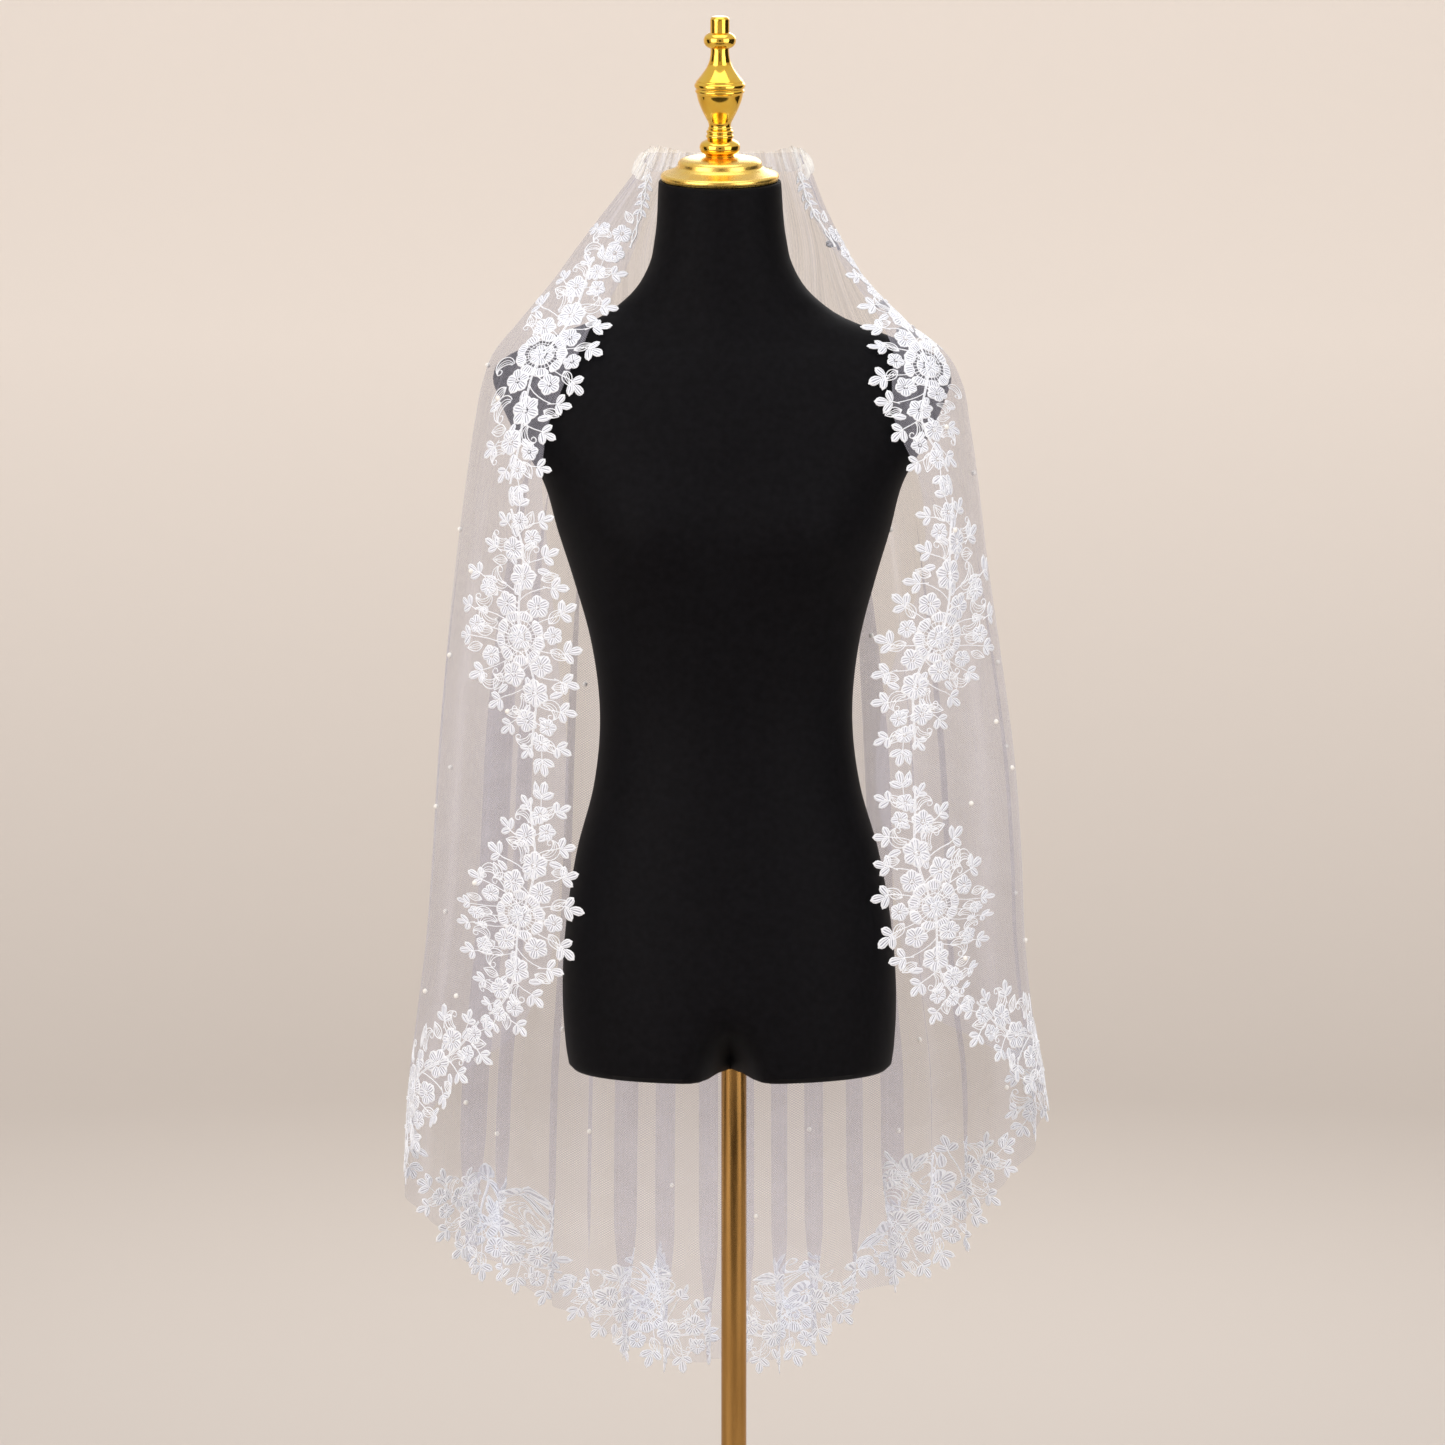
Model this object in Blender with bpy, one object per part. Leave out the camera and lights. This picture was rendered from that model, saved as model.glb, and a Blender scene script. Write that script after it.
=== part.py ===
"""Bridal veil with a lace border, worn on a limbless dress form on a stand.

Metres, +Z up. The origin is on the floor under the pole, -Y is the front of
the form and +X is on the viewer's right. One object for each sub-part.
"""

import math
from typing import Callable, NamedTuple

import bmesh
import bpy
import numpy as np
from mathutils import Matrix, Vector
from mathutils.bvhtree import BVHTree
from mathutils.geometry import delaunay_2d_cdt

MM = 0.001
SEAM_GAP = 0.3 * MM

# Stand
BASE_RADIUS = 160 * MM
BASE_EDGE = 9 * MM
BASE_CROWN = 16 * MM
BASE_SIDES = 36
POLE_RADIUS = 11.3 * MM
POLE_SIDES = 20
COLLAR_RADIUS = 17.5 * MM
COLLAR_HEIGHT = 46 * MM
ROUND_EDGE = 1.5 * MM

# Dress form
FORM_BOTTOM = 0.700
FORM_TOP = 1.4806
FORM_SIDES = 32
TOP_TILT = math.radians(13)
HIP_CENTRE_X = -4.4 * MM
HIP_Z = 0.80
LEAN = -0.0118
BUST_X = 84 * MM
BUST_Z = 1.172
BUST_HEIGHT = 17 * MM
BUST_WIDTH = 52 * MM
NOTCH_DEPTH = 88 * MM
NOTCH_WIDTH = 18 * MM
NOTCH_HEIGHT = 34 * MM
TURNED_SIDES = 24
FINIAL_SIDES = 16

# Veil
VEIL_CENTRE_X = -8.8 * MM
WALL = 1.0 * MM
FORM_CLEARANCE = 3.0 * MM
SIDE_U = 0.72
COLUMNS = 58
GATHERS = 15
GATHER_DEPTH = 2.0 * MM
GATHER_TOP = 1.475
GATHER_END = 1.340
SMOOTH_EDGE = 0.22
FOLD_START = 1.40
FOLD_FULL = 0.95
HEADING_Z = 1.510
EDGE_RUN = 0.05

# Comb and heading band
COMB_TEETH = 19
COMB_PITCH = 5.2 * MM
TOOTH_LENGTH = 34 * MM
SPINE_HEIGHT = 5 * MM
COMB_THICKNESS = 1.6 * MM
COMB_RADIUS = 76 * MM
COMB_BACK_Y = 58.6 * MM
COMB_TOP_Z = 1.494
BAND_HEIGHT = 9 * MM
BAND_THICKNESS = 2.0 * MM

# Lace
LIFT_STEP = 0.15 * MM
LACE_THICKNESS = 1.2 * MM
SPRAY_LENGTH = 0.240
SPRAY_GAP = 4 * MM
TRIM_LENGTH = 85 * MM
TRIM_WIDTH = 7.0
TRIM_SCALLOP = 14.0
FLAT_FROM = 0.80
FLAT_TO = 1.25
EDGE_STEP = 12 * MM
PINCH_ROUNDS = 12


class FormRing(NamedTuple):
    """One level section of the dress form, in millimetres but for z."""

    z: float
    half_width: float
    front: float
    back: float
    power: float


FORM_RINGS = [
    FormRing(0.7000, 138.0, 101, 97, 2.25),
    FormRing(0.7030, 141.5, 105, 101, 2.25),
    FormRing(0.7120, 144.0, 107, 103, 2.25),
    FormRing(0.7300, 146.0, 108, 106, 2.25),
    FormRing(0.7900, 147.0, 106, 115, 2.25),
    FormRing(0.8380, 142.6, 101, 112, 2.20),
    FormRing(0.8940, 133.0, 93, 100, 2.15),
    FormRing(0.9510, 117.5, 86, 84, 2.10),
    FormRing(1.0070, 111.3, 84, 76, 2.10),
    FormRing(1.0775, 118.0, 95, 85, 2.15),
    FormRing(1.1340, 133.0, 106, 98, 2.20),
    FormRing(1.1760, 146.0, 111, 105, 2.20),
    FormRing(1.2180, 158.0, 104, 108, 2.15),
    FormRing(1.2580, 181.0, 96, 107, 1.95),
    FormRing(1.2890, 195.0, 87, 103, 1.75),
    FormRing(1.3120, 200.5, 80, 99, 1.50),
    FormRing(1.3240, 194.0, 76, 96, 1.38),
    FormRing(1.3340, 176.0, 72, 93, 1.32),
    FormRing(1.3470, 143.0, 68, 88, 1.38),
    FormRing(1.3620, 106.0, 64, 82, 1.50),
    FormRing(1.3770, 84.5, 61, 77, 1.75),
    FormRing(1.4080, 62.5, 58, 66, 2.00),
    FormRing(1.4300, 57.6, 56, 60, 2.00),
    FormRing(FORM_TOP, 53.5, 53, 54, 2.00),
]


class VeilRow(NamedTuple):
    """One level section of the veil, in millimetres but for z.

    Each side has its front edge and its outermost point; back is the middle.
    """

    z: float
    left_edge_x: float
    left_edge_y: float
    left_side_x: float
    left_side_y: float
    back_y: float
    right_side_x: float
    right_side_y: float
    right_edge_x: float
    right_edge_y: float


VEIL_ROWS = [
    VeilRow(1.510, -62, 42, -64, 48, 62.4, 66, 48, 64, 42),
    VeilRow(1.490, -64, 38, -76, 48, 63.4, 74, 50, 70, 40),
    VeilRow(1.465, -68, 30, -95, 47, 73, 84, 54, 79, 37),
    VeilRow(1.430, -76, 14, -123, 42, 88, 103, 60, 101, 28),
    VeilRow(1.394, -90, -2, -151, 33, 97, 127, 53, 122, 14),
    VeilRow(1.358, -110, -18, -181, 24, 105, 163, 38, 142, -6),
    VeilRow(1.330, -122, -38, -203, 18, 110, 196, 24, 146, -28),
    VeilRow(1.305, -134, -50, -212, 15, 113, 209, 15, 143, -44),
    VeilRow(1.270, -150, -61, -219, 15, 116, 216, 15, 147, -58),
    VeilRow(1.225, -156, -72, -226, 18, 119, 223, 18, 166, -61),
    VeilRow(1.150, -150, -78, -236, 24, 122, 233, 24, 173, -60),
    VeilRow(1.060, -142, -78, -246, 32, 130, 247, 32, 146, -62),
    VeilRow(0.967, -134, -74, -254, 40, 140, 260, 40, 131, -63),
    VeilRow(0.880, -141, -69, -260, 47, 150, 267, 47, 146, -60),
    VeilRow(0.800, -152, -62, -267, 52, 159, 271, 52, 159, -56),
    VeilRow(0.740, -178, -53, -275, 55, 165, 278, 55, 190, -47),
    VeilRow(0.680, -218, -37, -283, 58, 171, 289, 58, 232, -33),
    VeilRow(0.600, -250, -18, -288, 60, 177, 292, 60, 262, -14),
    VeilRow(0.370, -262, 0, -290, 62, 188, 292, 62, 270, 0),
]


class HemPoint(NamedTuple):
    """Height of the tulle's lower edge at u, from -1 at the left front."""

    u: float
    z: float


HEM = [
    HemPoint(-1.00, 0.735),
    HemPoint(-0.86, 0.655),
    HemPoint(-0.72, 0.600),
    HemPoint(-0.55, 0.545),
    HemPoint(-0.39, 0.496),
    HemPoint(-0.24, 0.442),
    HemPoint(-0.10, 0.400),
    HemPoint(0.00, 0.388),
    HemPoint(0.10, 0.402),
    HemPoint(0.20, 0.450),
    HemPoint(0.31, 0.492),
    HemPoint(0.43, 0.549),
    HemPoint(0.56, 0.605),
    HemPoint(0.72, 0.668),
    HemPoint(0.86, 0.702),
    HemPoint(1.00, 0.750),
]


class Fold(NamedTuple):
    """A fold that runs down the veil, at u; sizes in millimetres.

    depth stands outward, overlap carries the crest over its own sides, and
    cloth is how many times its own breadth of tulle the fold takes up.
    """

    u: float
    half_width: float
    depth: float
    overlap: float
    cloth: float


FOLDS = [
    Fold(-0.900, 0.075, -7, 0.0, 1.1),
    Fold(-0.600, 0.090, 9, 2.0, 1.2),
    Fold(-0.385, 0.060, 26, 8.5, 2.4),
    Fold(-0.235, 0.060, 14, 5.0, 1.6),
    Fold(-0.116, 0.058, 30, 9.5, 2.6),
    Fold(0.004, 0.052, 27, 8.5, 2.5),
    Fold(0.106, 0.050, 28, 8.0, 2.5),
    Fold(0.224, 0.060, 29, 9.0, 2.5),
    Fold(0.360, 0.065, 13, 4.0, 1.5),
    Fold(0.545, 0.090, 10, 2.5, 1.2),
    Fold(0.870, 0.080, -7, 0.0, 1.1),
]


class Spray(NamedTuple):
    """A length of the lace border, from start along the veil's edge."""

    name: str
    start: float
    length: float
    reversed_way: bool
    scale: float = 1.0


class Motif(NamedTuple):
    """A motif of a spray: along and inward from the edge, in millimetres."""

    kind: str
    along: float
    inward: float
    size: float
    turn: float


SPRAY_MOTIFS = [
    Motif("rose", 122, 32, 28, 10),
    Motif("blossom", 72, 24, 17, 0),
    Motif("blossom", 176, 28, 17, 35),
    Motif("leaves", 98, 5, 24, -105),
    Motif("leaves", 34, 22, 27, 165),
    Motif("leaves", 208, 18, 26, -25),
    Motif("leaves", 150, 60, 25, 70),
]
SPRAY_STEMS = [
    [(30, 22), (72, 24), (176, 28), (212, 18)],
    [(112, 26), (99, 3)],
    [(136, 40), (151, 63)],
]
# The folds and the shoulders carry the sprays without their inward twig
INWARD_MOTIFS = 1
INWARD_STEMS = 1
STEM_WIDTH = 4.5


def clear_scene() -> None:
    """Remove every object, so that the part starts from nothing."""
    for thing in list(bpy.data.objects):
        bpy.data.objects.remove(thing, do_unlink=True)


def make_material(name: str, colour: tuple, roughness: float, metallic: float = 0.0,
                  alpha: float = 1.0) -> bpy.types.Material:
    """Return a Principled material of one finish."""
    material = bpy.data.materials.new(name)
    material.use_nodes = True
    shader = material.node_tree.nodes["Principled BSDF"]
    shader.inputs["Base Color"].default_value = (*colour, 1.0)
    shader.inputs["Roughness"].default_value = roughness
    shader.inputs["Metallic"].default_value = metallic
    shader.inputs["Alpha"].default_value = alpha
    return material


def add_object(name: str, bm: bmesh.types.BMesh, material: bpy.types.Material,
               smooth: bool = True) -> bpy.types.Object:
    """Make an object of a finished bmesh and put it in the scene."""
    bmesh.ops.recalc_face_normals(bm, faces=bm.faces)
    if bm.calc_volume(signed=True) < 0:
        bmesh.ops.reverse_faces(bm, faces=bm.faces)
    mesh = bpy.data.meshes.new(name)
    bm.to_mesh(mesh)
    bm.free()
    if smooth:
        mesh.shade_smooth()
        mesh.set_sharp_from_angle(angle=math.radians(35))
    mesh.materials.append(material)
    thing = bpy.data.objects.new(name, mesh)
    bpy.context.collection.objects.link(thing)
    return thing


def smooth_step(value: float, start: float, end: float) -> float:
    """Return 0 at start, 1 at end and a smooth ramp between them."""
    t = min(1.0, max(0.0, (value - start) / (end - start)))
    return t * t * (3 - 2 * t)


def curve_through(xs: list, ys: list) -> Callable[[float], float]:
    """Return a smooth curve y(x) through points with rising x."""
    xs = np.array(xs, float)
    ys = np.array(ys, float)
    steps = np.diff(xs)
    slopes = np.diff(ys) / steps
    inner = (slopes[:-1] * steps[1:] + slopes[1:] * steps[:-1]) / (steps[:-1] + steps[1:])
    tangents = np.concatenate([slopes[:1], inner, slopes[-1:]])

    def value(x: float) -> float:
        i = int(np.clip(np.searchsorted(xs, x) - 1, 0, len(steps) - 1))
        h = steps[i]
        t = (x - xs[i]) / h
        if t < 0 or t > 1:
            end, at = (0, xs[0]) if t < 0 else (-1, xs[-1])
            return float(ys[end] + tangents[end] * (x - at))
        a = (1 + 2 * t) * (1 - t) ** 2
        b = t * (1 - t) ** 2
        return float(a * ys[i] + b * h * tangents[i]
                     + (1 - a) * ys[i + 1] - t * t * (1 - t) * h * tangents[i + 1])

    return value


# Dress form


def form_centre_x(z: float) -> float:
    """Return where the form's slightly leaning centre line is at a height."""
    return HIP_CENTRE_X + LEAN * (z - HIP_Z)


def bust_relief(x: float, z: float) -> float:
    """Return how far the bust stands out at a point of the front."""
    height = math.exp(-((z - BUST_Z) / BUST_WIDTH) ** 2)
    return BUST_HEIGHT * height * max(
        math.exp(-((x - side * BUST_X) / BUST_WIDTH) ** 2) for side in (-1, 1))


def leg_notch(x: float, z: float) -> float:
    """Return how far the front is drawn in between the two thighs."""
    fade = math.exp(-((z - FORM_BOTTOM) / NOTCH_HEIGHT) ** 2)
    return NOTCH_DEPTH * fade * math.exp(-(x / NOTCH_WIDTH) ** 2)


def form_point(ring: FormRing, angle: float) -> Vector:
    """Return a point of a ring of the form; angle 0 is the right side."""
    c, s = math.cos(angle), math.sin(angle)
    x = ring.half_width * MM * math.copysign(abs(c) ** (2 / ring.power), c)
    depth = (ring.back if s > 0 else ring.front) * MM
    y = depth * math.copysign(abs(s) ** (2 / ring.power), s)
    if s < 0:
        y -= bust_relief(x, ring.z) * abs(s)
        y += leg_notch(x, ring.z) * abs(s)
    return Vector((form_centre_x(ring.z) + x, y, ring.z))


def ring_angles() -> list[float]:
    """Return the angles of a ring's points, closest at front and back."""
    turns = (2 * math.pi * (i + 0.5) / FORM_SIDES for i in range(FORM_SIDES))
    return [turn + 0.22 * math.sin(2 * turn) for turn in turns]


def make_form(material: bpy.types.Material) -> bpy.types.Object:
    """Loft the torso through its rings and close it flat at both ends."""
    bm = bmesh.new()
    loops = []
    for ring in FORM_RINGS:
        points = [form_point(ring, angle) for angle in ring_angles()]
        if ring.z == FORM_TOP:
            points = [p + Vector((0, 0, p.y * math.tan(TOP_TILT))) for p in points]
        corners = [bm.verts.new(p) for p in points]
        loops.append([bm.edges.new((corners[i - 1], corners[i])) for i in range(FORM_SIDES)])
    for lower, upper in zip(loops, loops[1:]):
        bmesh.ops.bridge_loops(bm, edges=lower + upper)
    bmesh.ops.holes_fill(bm, edges=[edge for edge in bm.edges if edge.is_boundary], sides=0)
    return add_object("form_torso", bm, material)


# Turned pieces


def turn_profile(name: str, profile: list, sides: int, material: bpy.types.Material,
                 closed: bool = False) -> bpy.types.Object:
    """Spin a profile of radius and height, in metres, about the z axis."""
    bm = bmesh.new()
    corners = [bm.verts.new((radius, 0, height)) for radius, height in profile]
    pairs = list(zip(corners, corners[1:])) + ([(corners[-1], corners[0])] if closed else [])
    edges = [bm.edges.new(pair) for pair in pairs]
    bmesh.ops.spin(bm, geom=corners + edges, axis=(0, 0, 1), cent=(0, 0, 0), steps=sides,
                   angle=2 * math.pi, use_merge=True)
    bmesh.ops.remove_doubles(bm, verts=bm.verts, dist=1e-6)
    return add_object(name, bm, material)


def in_mm(profile: list) -> list:
    """Return a profile of millimetres in metres."""
    return [(radius * MM, height * MM) for radius, height in profile]


def arc_profile(centre: tuple, radius: float, start: float, end: float, steps: int) -> list:
    """Return points of an arc of a profile, its angles in degrees."""
    return [(centre[0] + radius * math.cos(math.radians(a)),
             centre[1] + radius * math.sin(math.radians(a)))
            for a in np.linspace(start, end, steps)]


CAP_HEIGHT = 24.0


def make_cap(material: bpy.types.Material) -> bpy.types.Object:
    """Make the stepped cap that closes the neck."""
    profile = in_mm(
        [(0, 0), (50.5, 0), (52, 1.2)]
        + arc_profile((49.0, 6.0), 3.0, 0, 90, 3)
        + [(42.5, 9.6), (42.5, 11.5), (40.5, 13.5)]
        + [(34.5, 17.5), (30, 20.2), (21, 23.0), (0, CAP_HEIGHT)])
    return turn_profile("neck_cap", profile, TURNED_SIDES, material)


def make_finial(material: bpy.types.Material) -> bpy.types.Object:
    """Make the turned urn that stands on the cap, 122 mm high."""
    profile = in_mm(
        [(0, 0), (14, 0)]
        + arc_profile((11.9, 6.6), 6.2, -60, 60, 5)
        + [(12.0, 13.6), (11.8, 19.2), (10.6, 20.6), (10.8, 26.0), (14.6, 32.5),
           (18.4, 42.0), (20.7, 52.5), (22.5, 54.5), (22.5, 60.5)]
        + [(19.5, 64.0), (14.2, 70.5), (10.6, 78.0), (8.4, 86.5), (8.4, 92.0)]
        + arc_profile((7.8, 99.0), 6.6, -70, 70, 5)
        + [(8.6, 106.6), (8.6, 116.0), (6.6, 119.6), (3.2, 121.4), (0, 121.8)])
    return turn_profile("finial", profile, FINIAL_SIDES, material)


def seat_on_neck(thing: bpy.types.Object, height: float) -> None:
    """Place a turned piece on the neck's tilted top, height above it."""
    thing.rotation_euler.x = TOP_TILT
    axis = Vector((0, -math.sin(TOP_TILT), math.cos(TOP_TILT)))
    thing.location = Vector((form_centre_x(FORM_TOP), 0, FORM_TOP)) + axis * height


def make_stand(brass: bpy.types.Material, black: bpy.types.Material) -> None:
    """Make the round base plate, the pole and the collar that holds it."""
    turn_profile("base_plate", [
        (0, 0), (BASE_RADIUS - ROUND_EDGE, 0), (BASE_RADIUS, ROUND_EDGE),
        (BASE_RADIUS, BASE_EDGE - ROUND_EDGE), (BASE_RADIUS - ROUND_EDGE, BASE_EDGE),
        (BASE_RADIUS * 0.55, BASE_EDGE + (BASE_CROWN - BASE_EDGE) * 0.7),
        (COLLAR_RADIUS * 1.6, BASE_CROWN), (0, BASE_CROWN)], BASE_SIDES, black)
    foot = BASE_CROWN + SEAM_GAP
    top = FORM_BOTTOM - SEAM_GAP
    turn_profile("pole", [(0, foot), (POLE_RADIUS, foot), (POLE_RADIUS, top), (0, top)],
                 POLE_SIDES, brass)
    bore = POLE_RADIUS / math.cos(math.pi / POLE_SIDES) + SEAM_GAP
    turn_profile("pole_collar", [
        (bore, foot), (COLLAR_RADIUS + 4 * MM, foot), (COLLAR_RADIUS + 4 * MM, foot + 5 * MM),
        (COLLAR_RADIUS, foot + 8 * MM), (COLLAR_RADIUS, foot + COLLAR_HEIGHT - ROUND_EDGE),
        (COLLAR_RADIUS - ROUND_EDGE, foot + COLLAR_HEIGHT), (bore, foot + COLLAR_HEIGHT)],
        POLE_SIDES, brass, closed=True)


# The veil's drape


class Drape:
    """The hung veil as a surface of cloth fraction across and fraction down.

    Across runs from -1 at the left front edge to 1 at the right one, counted
    in cloth, so that folds hold more of it. Down is 0 at the heading, 1 at
    the hem.
    """

    def __init__(self) -> None:
        rows = sorted(VEIL_ROWS)
        heights = [row.z for row in rows]
        self.column = {
            field: curve_through(heights, [getattr(row, field) * MM for row in rows])
            for field in VeilRow._fields[1:]}
        self.hem_height = curve_through([p.u for p in HEM], [p.z for p in HEM])
        self.samples_u = np.linspace(-1, 1, 801)
        weight = np.ones_like(self.samples_u)
        for fold in FOLDS:
            weight += (fold.cloth - 1) * (np.abs(self.samples_u - fold.u) < fold.half_width)
        total = np.concatenate([[0], np.cumsum((weight[1:] + weight[:-1]) / 2)])
        self.samples_cloth = 2 * total / total[-1] - 1

    def place_of(self, across: float) -> float:
        """Return the section place u of a cloth fraction."""
        return float(np.interp(across, self.samples_cloth, self.samples_u))

    def section(self, u: float, z: float) -> Vector:
        """Return the unfolded veil's point at section place u and height z."""
        side = "left" if u < 0 else "right"
        side_x = self.column[side + "_side_x"](z)
        side_y = self.column[side + "_side_y"](z)
        if abs(u) <= SIDE_U:
            turn = (1 - abs(u) / SIDE_U) * math.pi / 2
            power = 2 - 0.5 * math.exp(-((z - 1.325) / 0.09) ** 2)
            x = side_x * math.cos(turn) ** (2 / power) if turn < math.pi / 2 - 1e-9 else 0.0
            y = side_y + (self.column["back_y"](z) - side_y) * math.sin(turn) ** (2 / power)
            return Vector((VEIL_CENTRE_X + x, y, z))
        edge_x = self.column[side + "_edge_x"](z)
        edge_y = self.column[side + "_edge_y"](z)
        turn = (1 - abs(u)) / (1 - SIDE_U) * math.pi / 2
        x = edge_x + (side_x - edge_x) * math.sin(turn)
        y = side_y + (edge_y - side_y) * math.cos(turn)
        return Vector((VEIL_CENTRE_X + x, y, z))

    def point(self, across: float, down: float) -> Vector:
        """Return the folded veil's inner surface point.

        Past a free edge the surface runs straight on.
        """
        if abs(across) > 1:
            side = math.copysign(1.0, across)
            edge, inner = self.point(side, down), self.point(side * (1 - EDGE_RUN), down)
            return edge + (edge - inner) * ((abs(across) - 1) / EDGE_RUN)
        own = self.place_of(across)
        z = HEADING_Z - (HEADING_Z - self.hem_height(max(-1.0, min(1.0, own)))) * down
        gathered = smooth_step(z, 1.33, 1.48)
        u = own + (across - own) * gathered
        step = 0.004
        before, after = self.section(u - step, z), self.section(u + step, z)
        along = (after - before).normalized()
        outward = Vector((-along.y, along.x, 0))
        place = self.section(u, z)
        full = 1 - smooth_step(z, FOLD_FULL, FOLD_START)
        for fold in FOLDS:
            reach = (own - fold.u) / fold.half_width
            if abs(reach) < 1:
                bell = (1 + math.cos(math.pi * reach)) / 2
                place += outward * (fold.depth * MM * bell * full)
                place += along * (fold.overlap * MM * math.sin(2 * math.pi * reach) * full)
        waves = math.cos(math.pi * GATHERS * (across + 1))
        gather = GATHER_DEPTH * smooth_step(z, GATHER_END, GATHER_TOP)
        gather *= smooth_step(1 - abs(across), 0.02, SMOOTH_EDGE)
        return place + outward * (gather * (1 + waves))


def row_fractions() -> list[float]:
    """Return the fractions down of the grid's rows, closest at the shoulders."""
    top = [0, 0.015, 0.036, 0.062, 0.09, 0.115, 0.138, 0.158, 0.178, 0.202, 0.235, 0.28]
    lower = [0.28 + 0.72 * (i / 9) for i in range(1, 10)]
    return top + lower


class ClothGrid:
    """The veil's inner points and the directions that its layers move out in.

    A row and two columns past each free edge carry the lace that stands over
    it.
    """

    GHOST = 0.06

    def __init__(self, drape: Drape, form: BVHTree) -> None:
        inside = [2 * i / COLUMNS - 1 for i in range(COLUMNS + 1)]
        beyond = [1 + self.GHOST, 1 + 2 * self.GHOST]
        self.across = np.array([-x for x in beyond[::-1]] + inside + beyond)
        self.down = np.array(row_fractions() + [1 + self.GHOST])
        self.points = np.array([[self.settled(drape.point(a, d), form) for a in self.across]
                                for d in self.down])
        self.outward = self.directions()

    @staticmethod
    def settled(point: Vector, form: BVHTree) -> Vector:
        """Return a point moved out to clear the form, where it has to be."""
        for _ in range(3):
            near, normal, _, distance = form.find_nearest(point)
            away = (point - near).normalized()
            if away.dot(normal) < -0.5:
                point = near + normal * FORM_CLEARANCE
            elif distance < FORM_CLEARANCE:
                point = near + away * FORM_CLEARANCE
        return point

    def directions(self) -> np.ndarray:
        """Return the unit direction at each point that faces off the form."""
        by_across = np.gradient(self.points, axis=1)
        by_down = np.gradient(self.points, axis=0)
        normal = np.cross(by_down, by_across)
        return -normal / np.linalg.norm(normal, axis=2, keepdims=True)

    def layer(self, row: int, column: int, offset: float) -> Vector:
        """Return a grid point moved out by an offset."""
        return Vector(self.points[row, column] + offset * self.outward[row, column])

    def at(self, across: float, down: float, offset: float) -> Vector:
        """Return the point of the moved-out grid at any cloth place."""
        column = int(np.clip(np.searchsorted(self.across, across) - 1, 0, len(self.across) - 2))
        row = int(np.clip(np.searchsorted(self.down, down) - 1, 0, len(self.down) - 2))
        s = (across - self.across[column]) / (self.across[column + 1] - self.across[column])
        t = (down - self.down[row]) / (self.down[row + 1] - self.down[row])
        upper = self.layer(row, column, offset).lerp(self.layer(row, column + 1, offset), s)
        lower = self.layer(row + 1, column, offset).lerp(self.layer(row + 1, column + 1, offset), s)
        return upper.lerp(lower, t)


def thicken(bm: bmesh.types.BMesh, outer: dict) -> None:
    """Close a sheet into a wall; outer gives each vertex its outer place."""
    faces = list(bm.faces)
    places = {vert.index: outer[vert.index] for vert in bm.verts}
    vert_of = {vert: vert.index for vert in bm.verts}
    made = bmesh.ops.extrude_face_region(bm, geom=faces, use_keep_orig=True)
    moved = [g for g in made["geom"] if isinstance(g, bmesh.types.BMVert)]
    kept = {tuple(vert.co): index for vert, index in vert_of.items() if vert.is_valid}
    for vert in moved:
        vert.co = places[kept[tuple(vert.co)]]


def make_tulle(grid: ClothGrid, material: bpy.types.Material) -> bpy.types.Object:
    """Make the tulle as one wall, from the heading to the hem."""
    rows = len(grid.down) - 1
    bm = bmesh.new()
    bmesh.ops.create_grid(bm, x_segments=COLUMNS, y_segments=rows - 1, size=1)
    bm.verts.ensure_lookup_table()
    bm.verts.index_update()
    outer = {}
    for vert in bm.verts:
        column = round((vert.co.x + 1) / 2 * COLUMNS) + 2
        row = round((1 - vert.co.y) / 2 * (rows - 1))
        vert.co = grid.layer(row, column, 0)
        outer[vert.index] = grid.layer(row, column, WALL)
    thicken(bm, outer)
    return add_object("veil_tulle", bm, material)


# Comb and heading


def arc_strip_point(radius: float, back_y: float, along: float) -> tuple[float, float]:
    """Return x and y on an arc behind the neck, along from its middle."""
    turn = along / radius
    return (form_centre_x(FORM_TOP) + radius * math.sin(turn),
            back_y - radius * (1 - math.cos(turn)))


def make_comb(material: bpy.types.Material) -> bpy.types.Object:
    """Make the comb: a curved spine with its teeth drawn down from it."""
    bm = bmesh.new()
    cells = 2 * COMB_TEETH - 1
    width = COMB_PITCH * (COMB_TEETH - 0.5)
    bmesh.ops.create_grid(bm, x_segments=cells, y_segments=1, size=1)
    for vert in bm.verts:
        along = vert.co.x * width / 2
        x, y = arc_strip_point(COMB_RADIUS, COMB_BACK_Y, along)
        vert.co = (x, y, COMB_TOP_Z - (SPINE_HEIGHT if vert.co.y < 0 else 0))
    bm.edges.ensure_lookup_table()
    lower = [edge for edge in bm.edges
             if all(v.co.z < COMB_TOP_Z - SPINE_HEIGHT / 2 for v in edge.verts)]
    lower.sort(key=lambda edge: (edge.verts[0].co.x + edge.verts[1].co.x))
    for edge in lower[::2]:
        made = bmesh.ops.extrude_edge_only(bm, edges=[edge])
        tips = [g for g in made["geom"] if isinstance(g, bmesh.types.BMVert)]
        for tip in tips:
            tip.co.z -= TOOTH_LENGTH
    bm.verts.index_update()
    centre = Vector((form_centre_x(FORM_TOP), COMB_BACK_Y - COMB_RADIUS, 0))
    outer = {}
    for vert in bm.verts:
        away = (vert.co - centre) * Vector((1, 1, 0))
        outer[vert.index] = vert.co + away.normalized() * COMB_THICKNESS
    thicken(bm, outer)
    return add_object("comb", bm, material, smooth=False)


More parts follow.
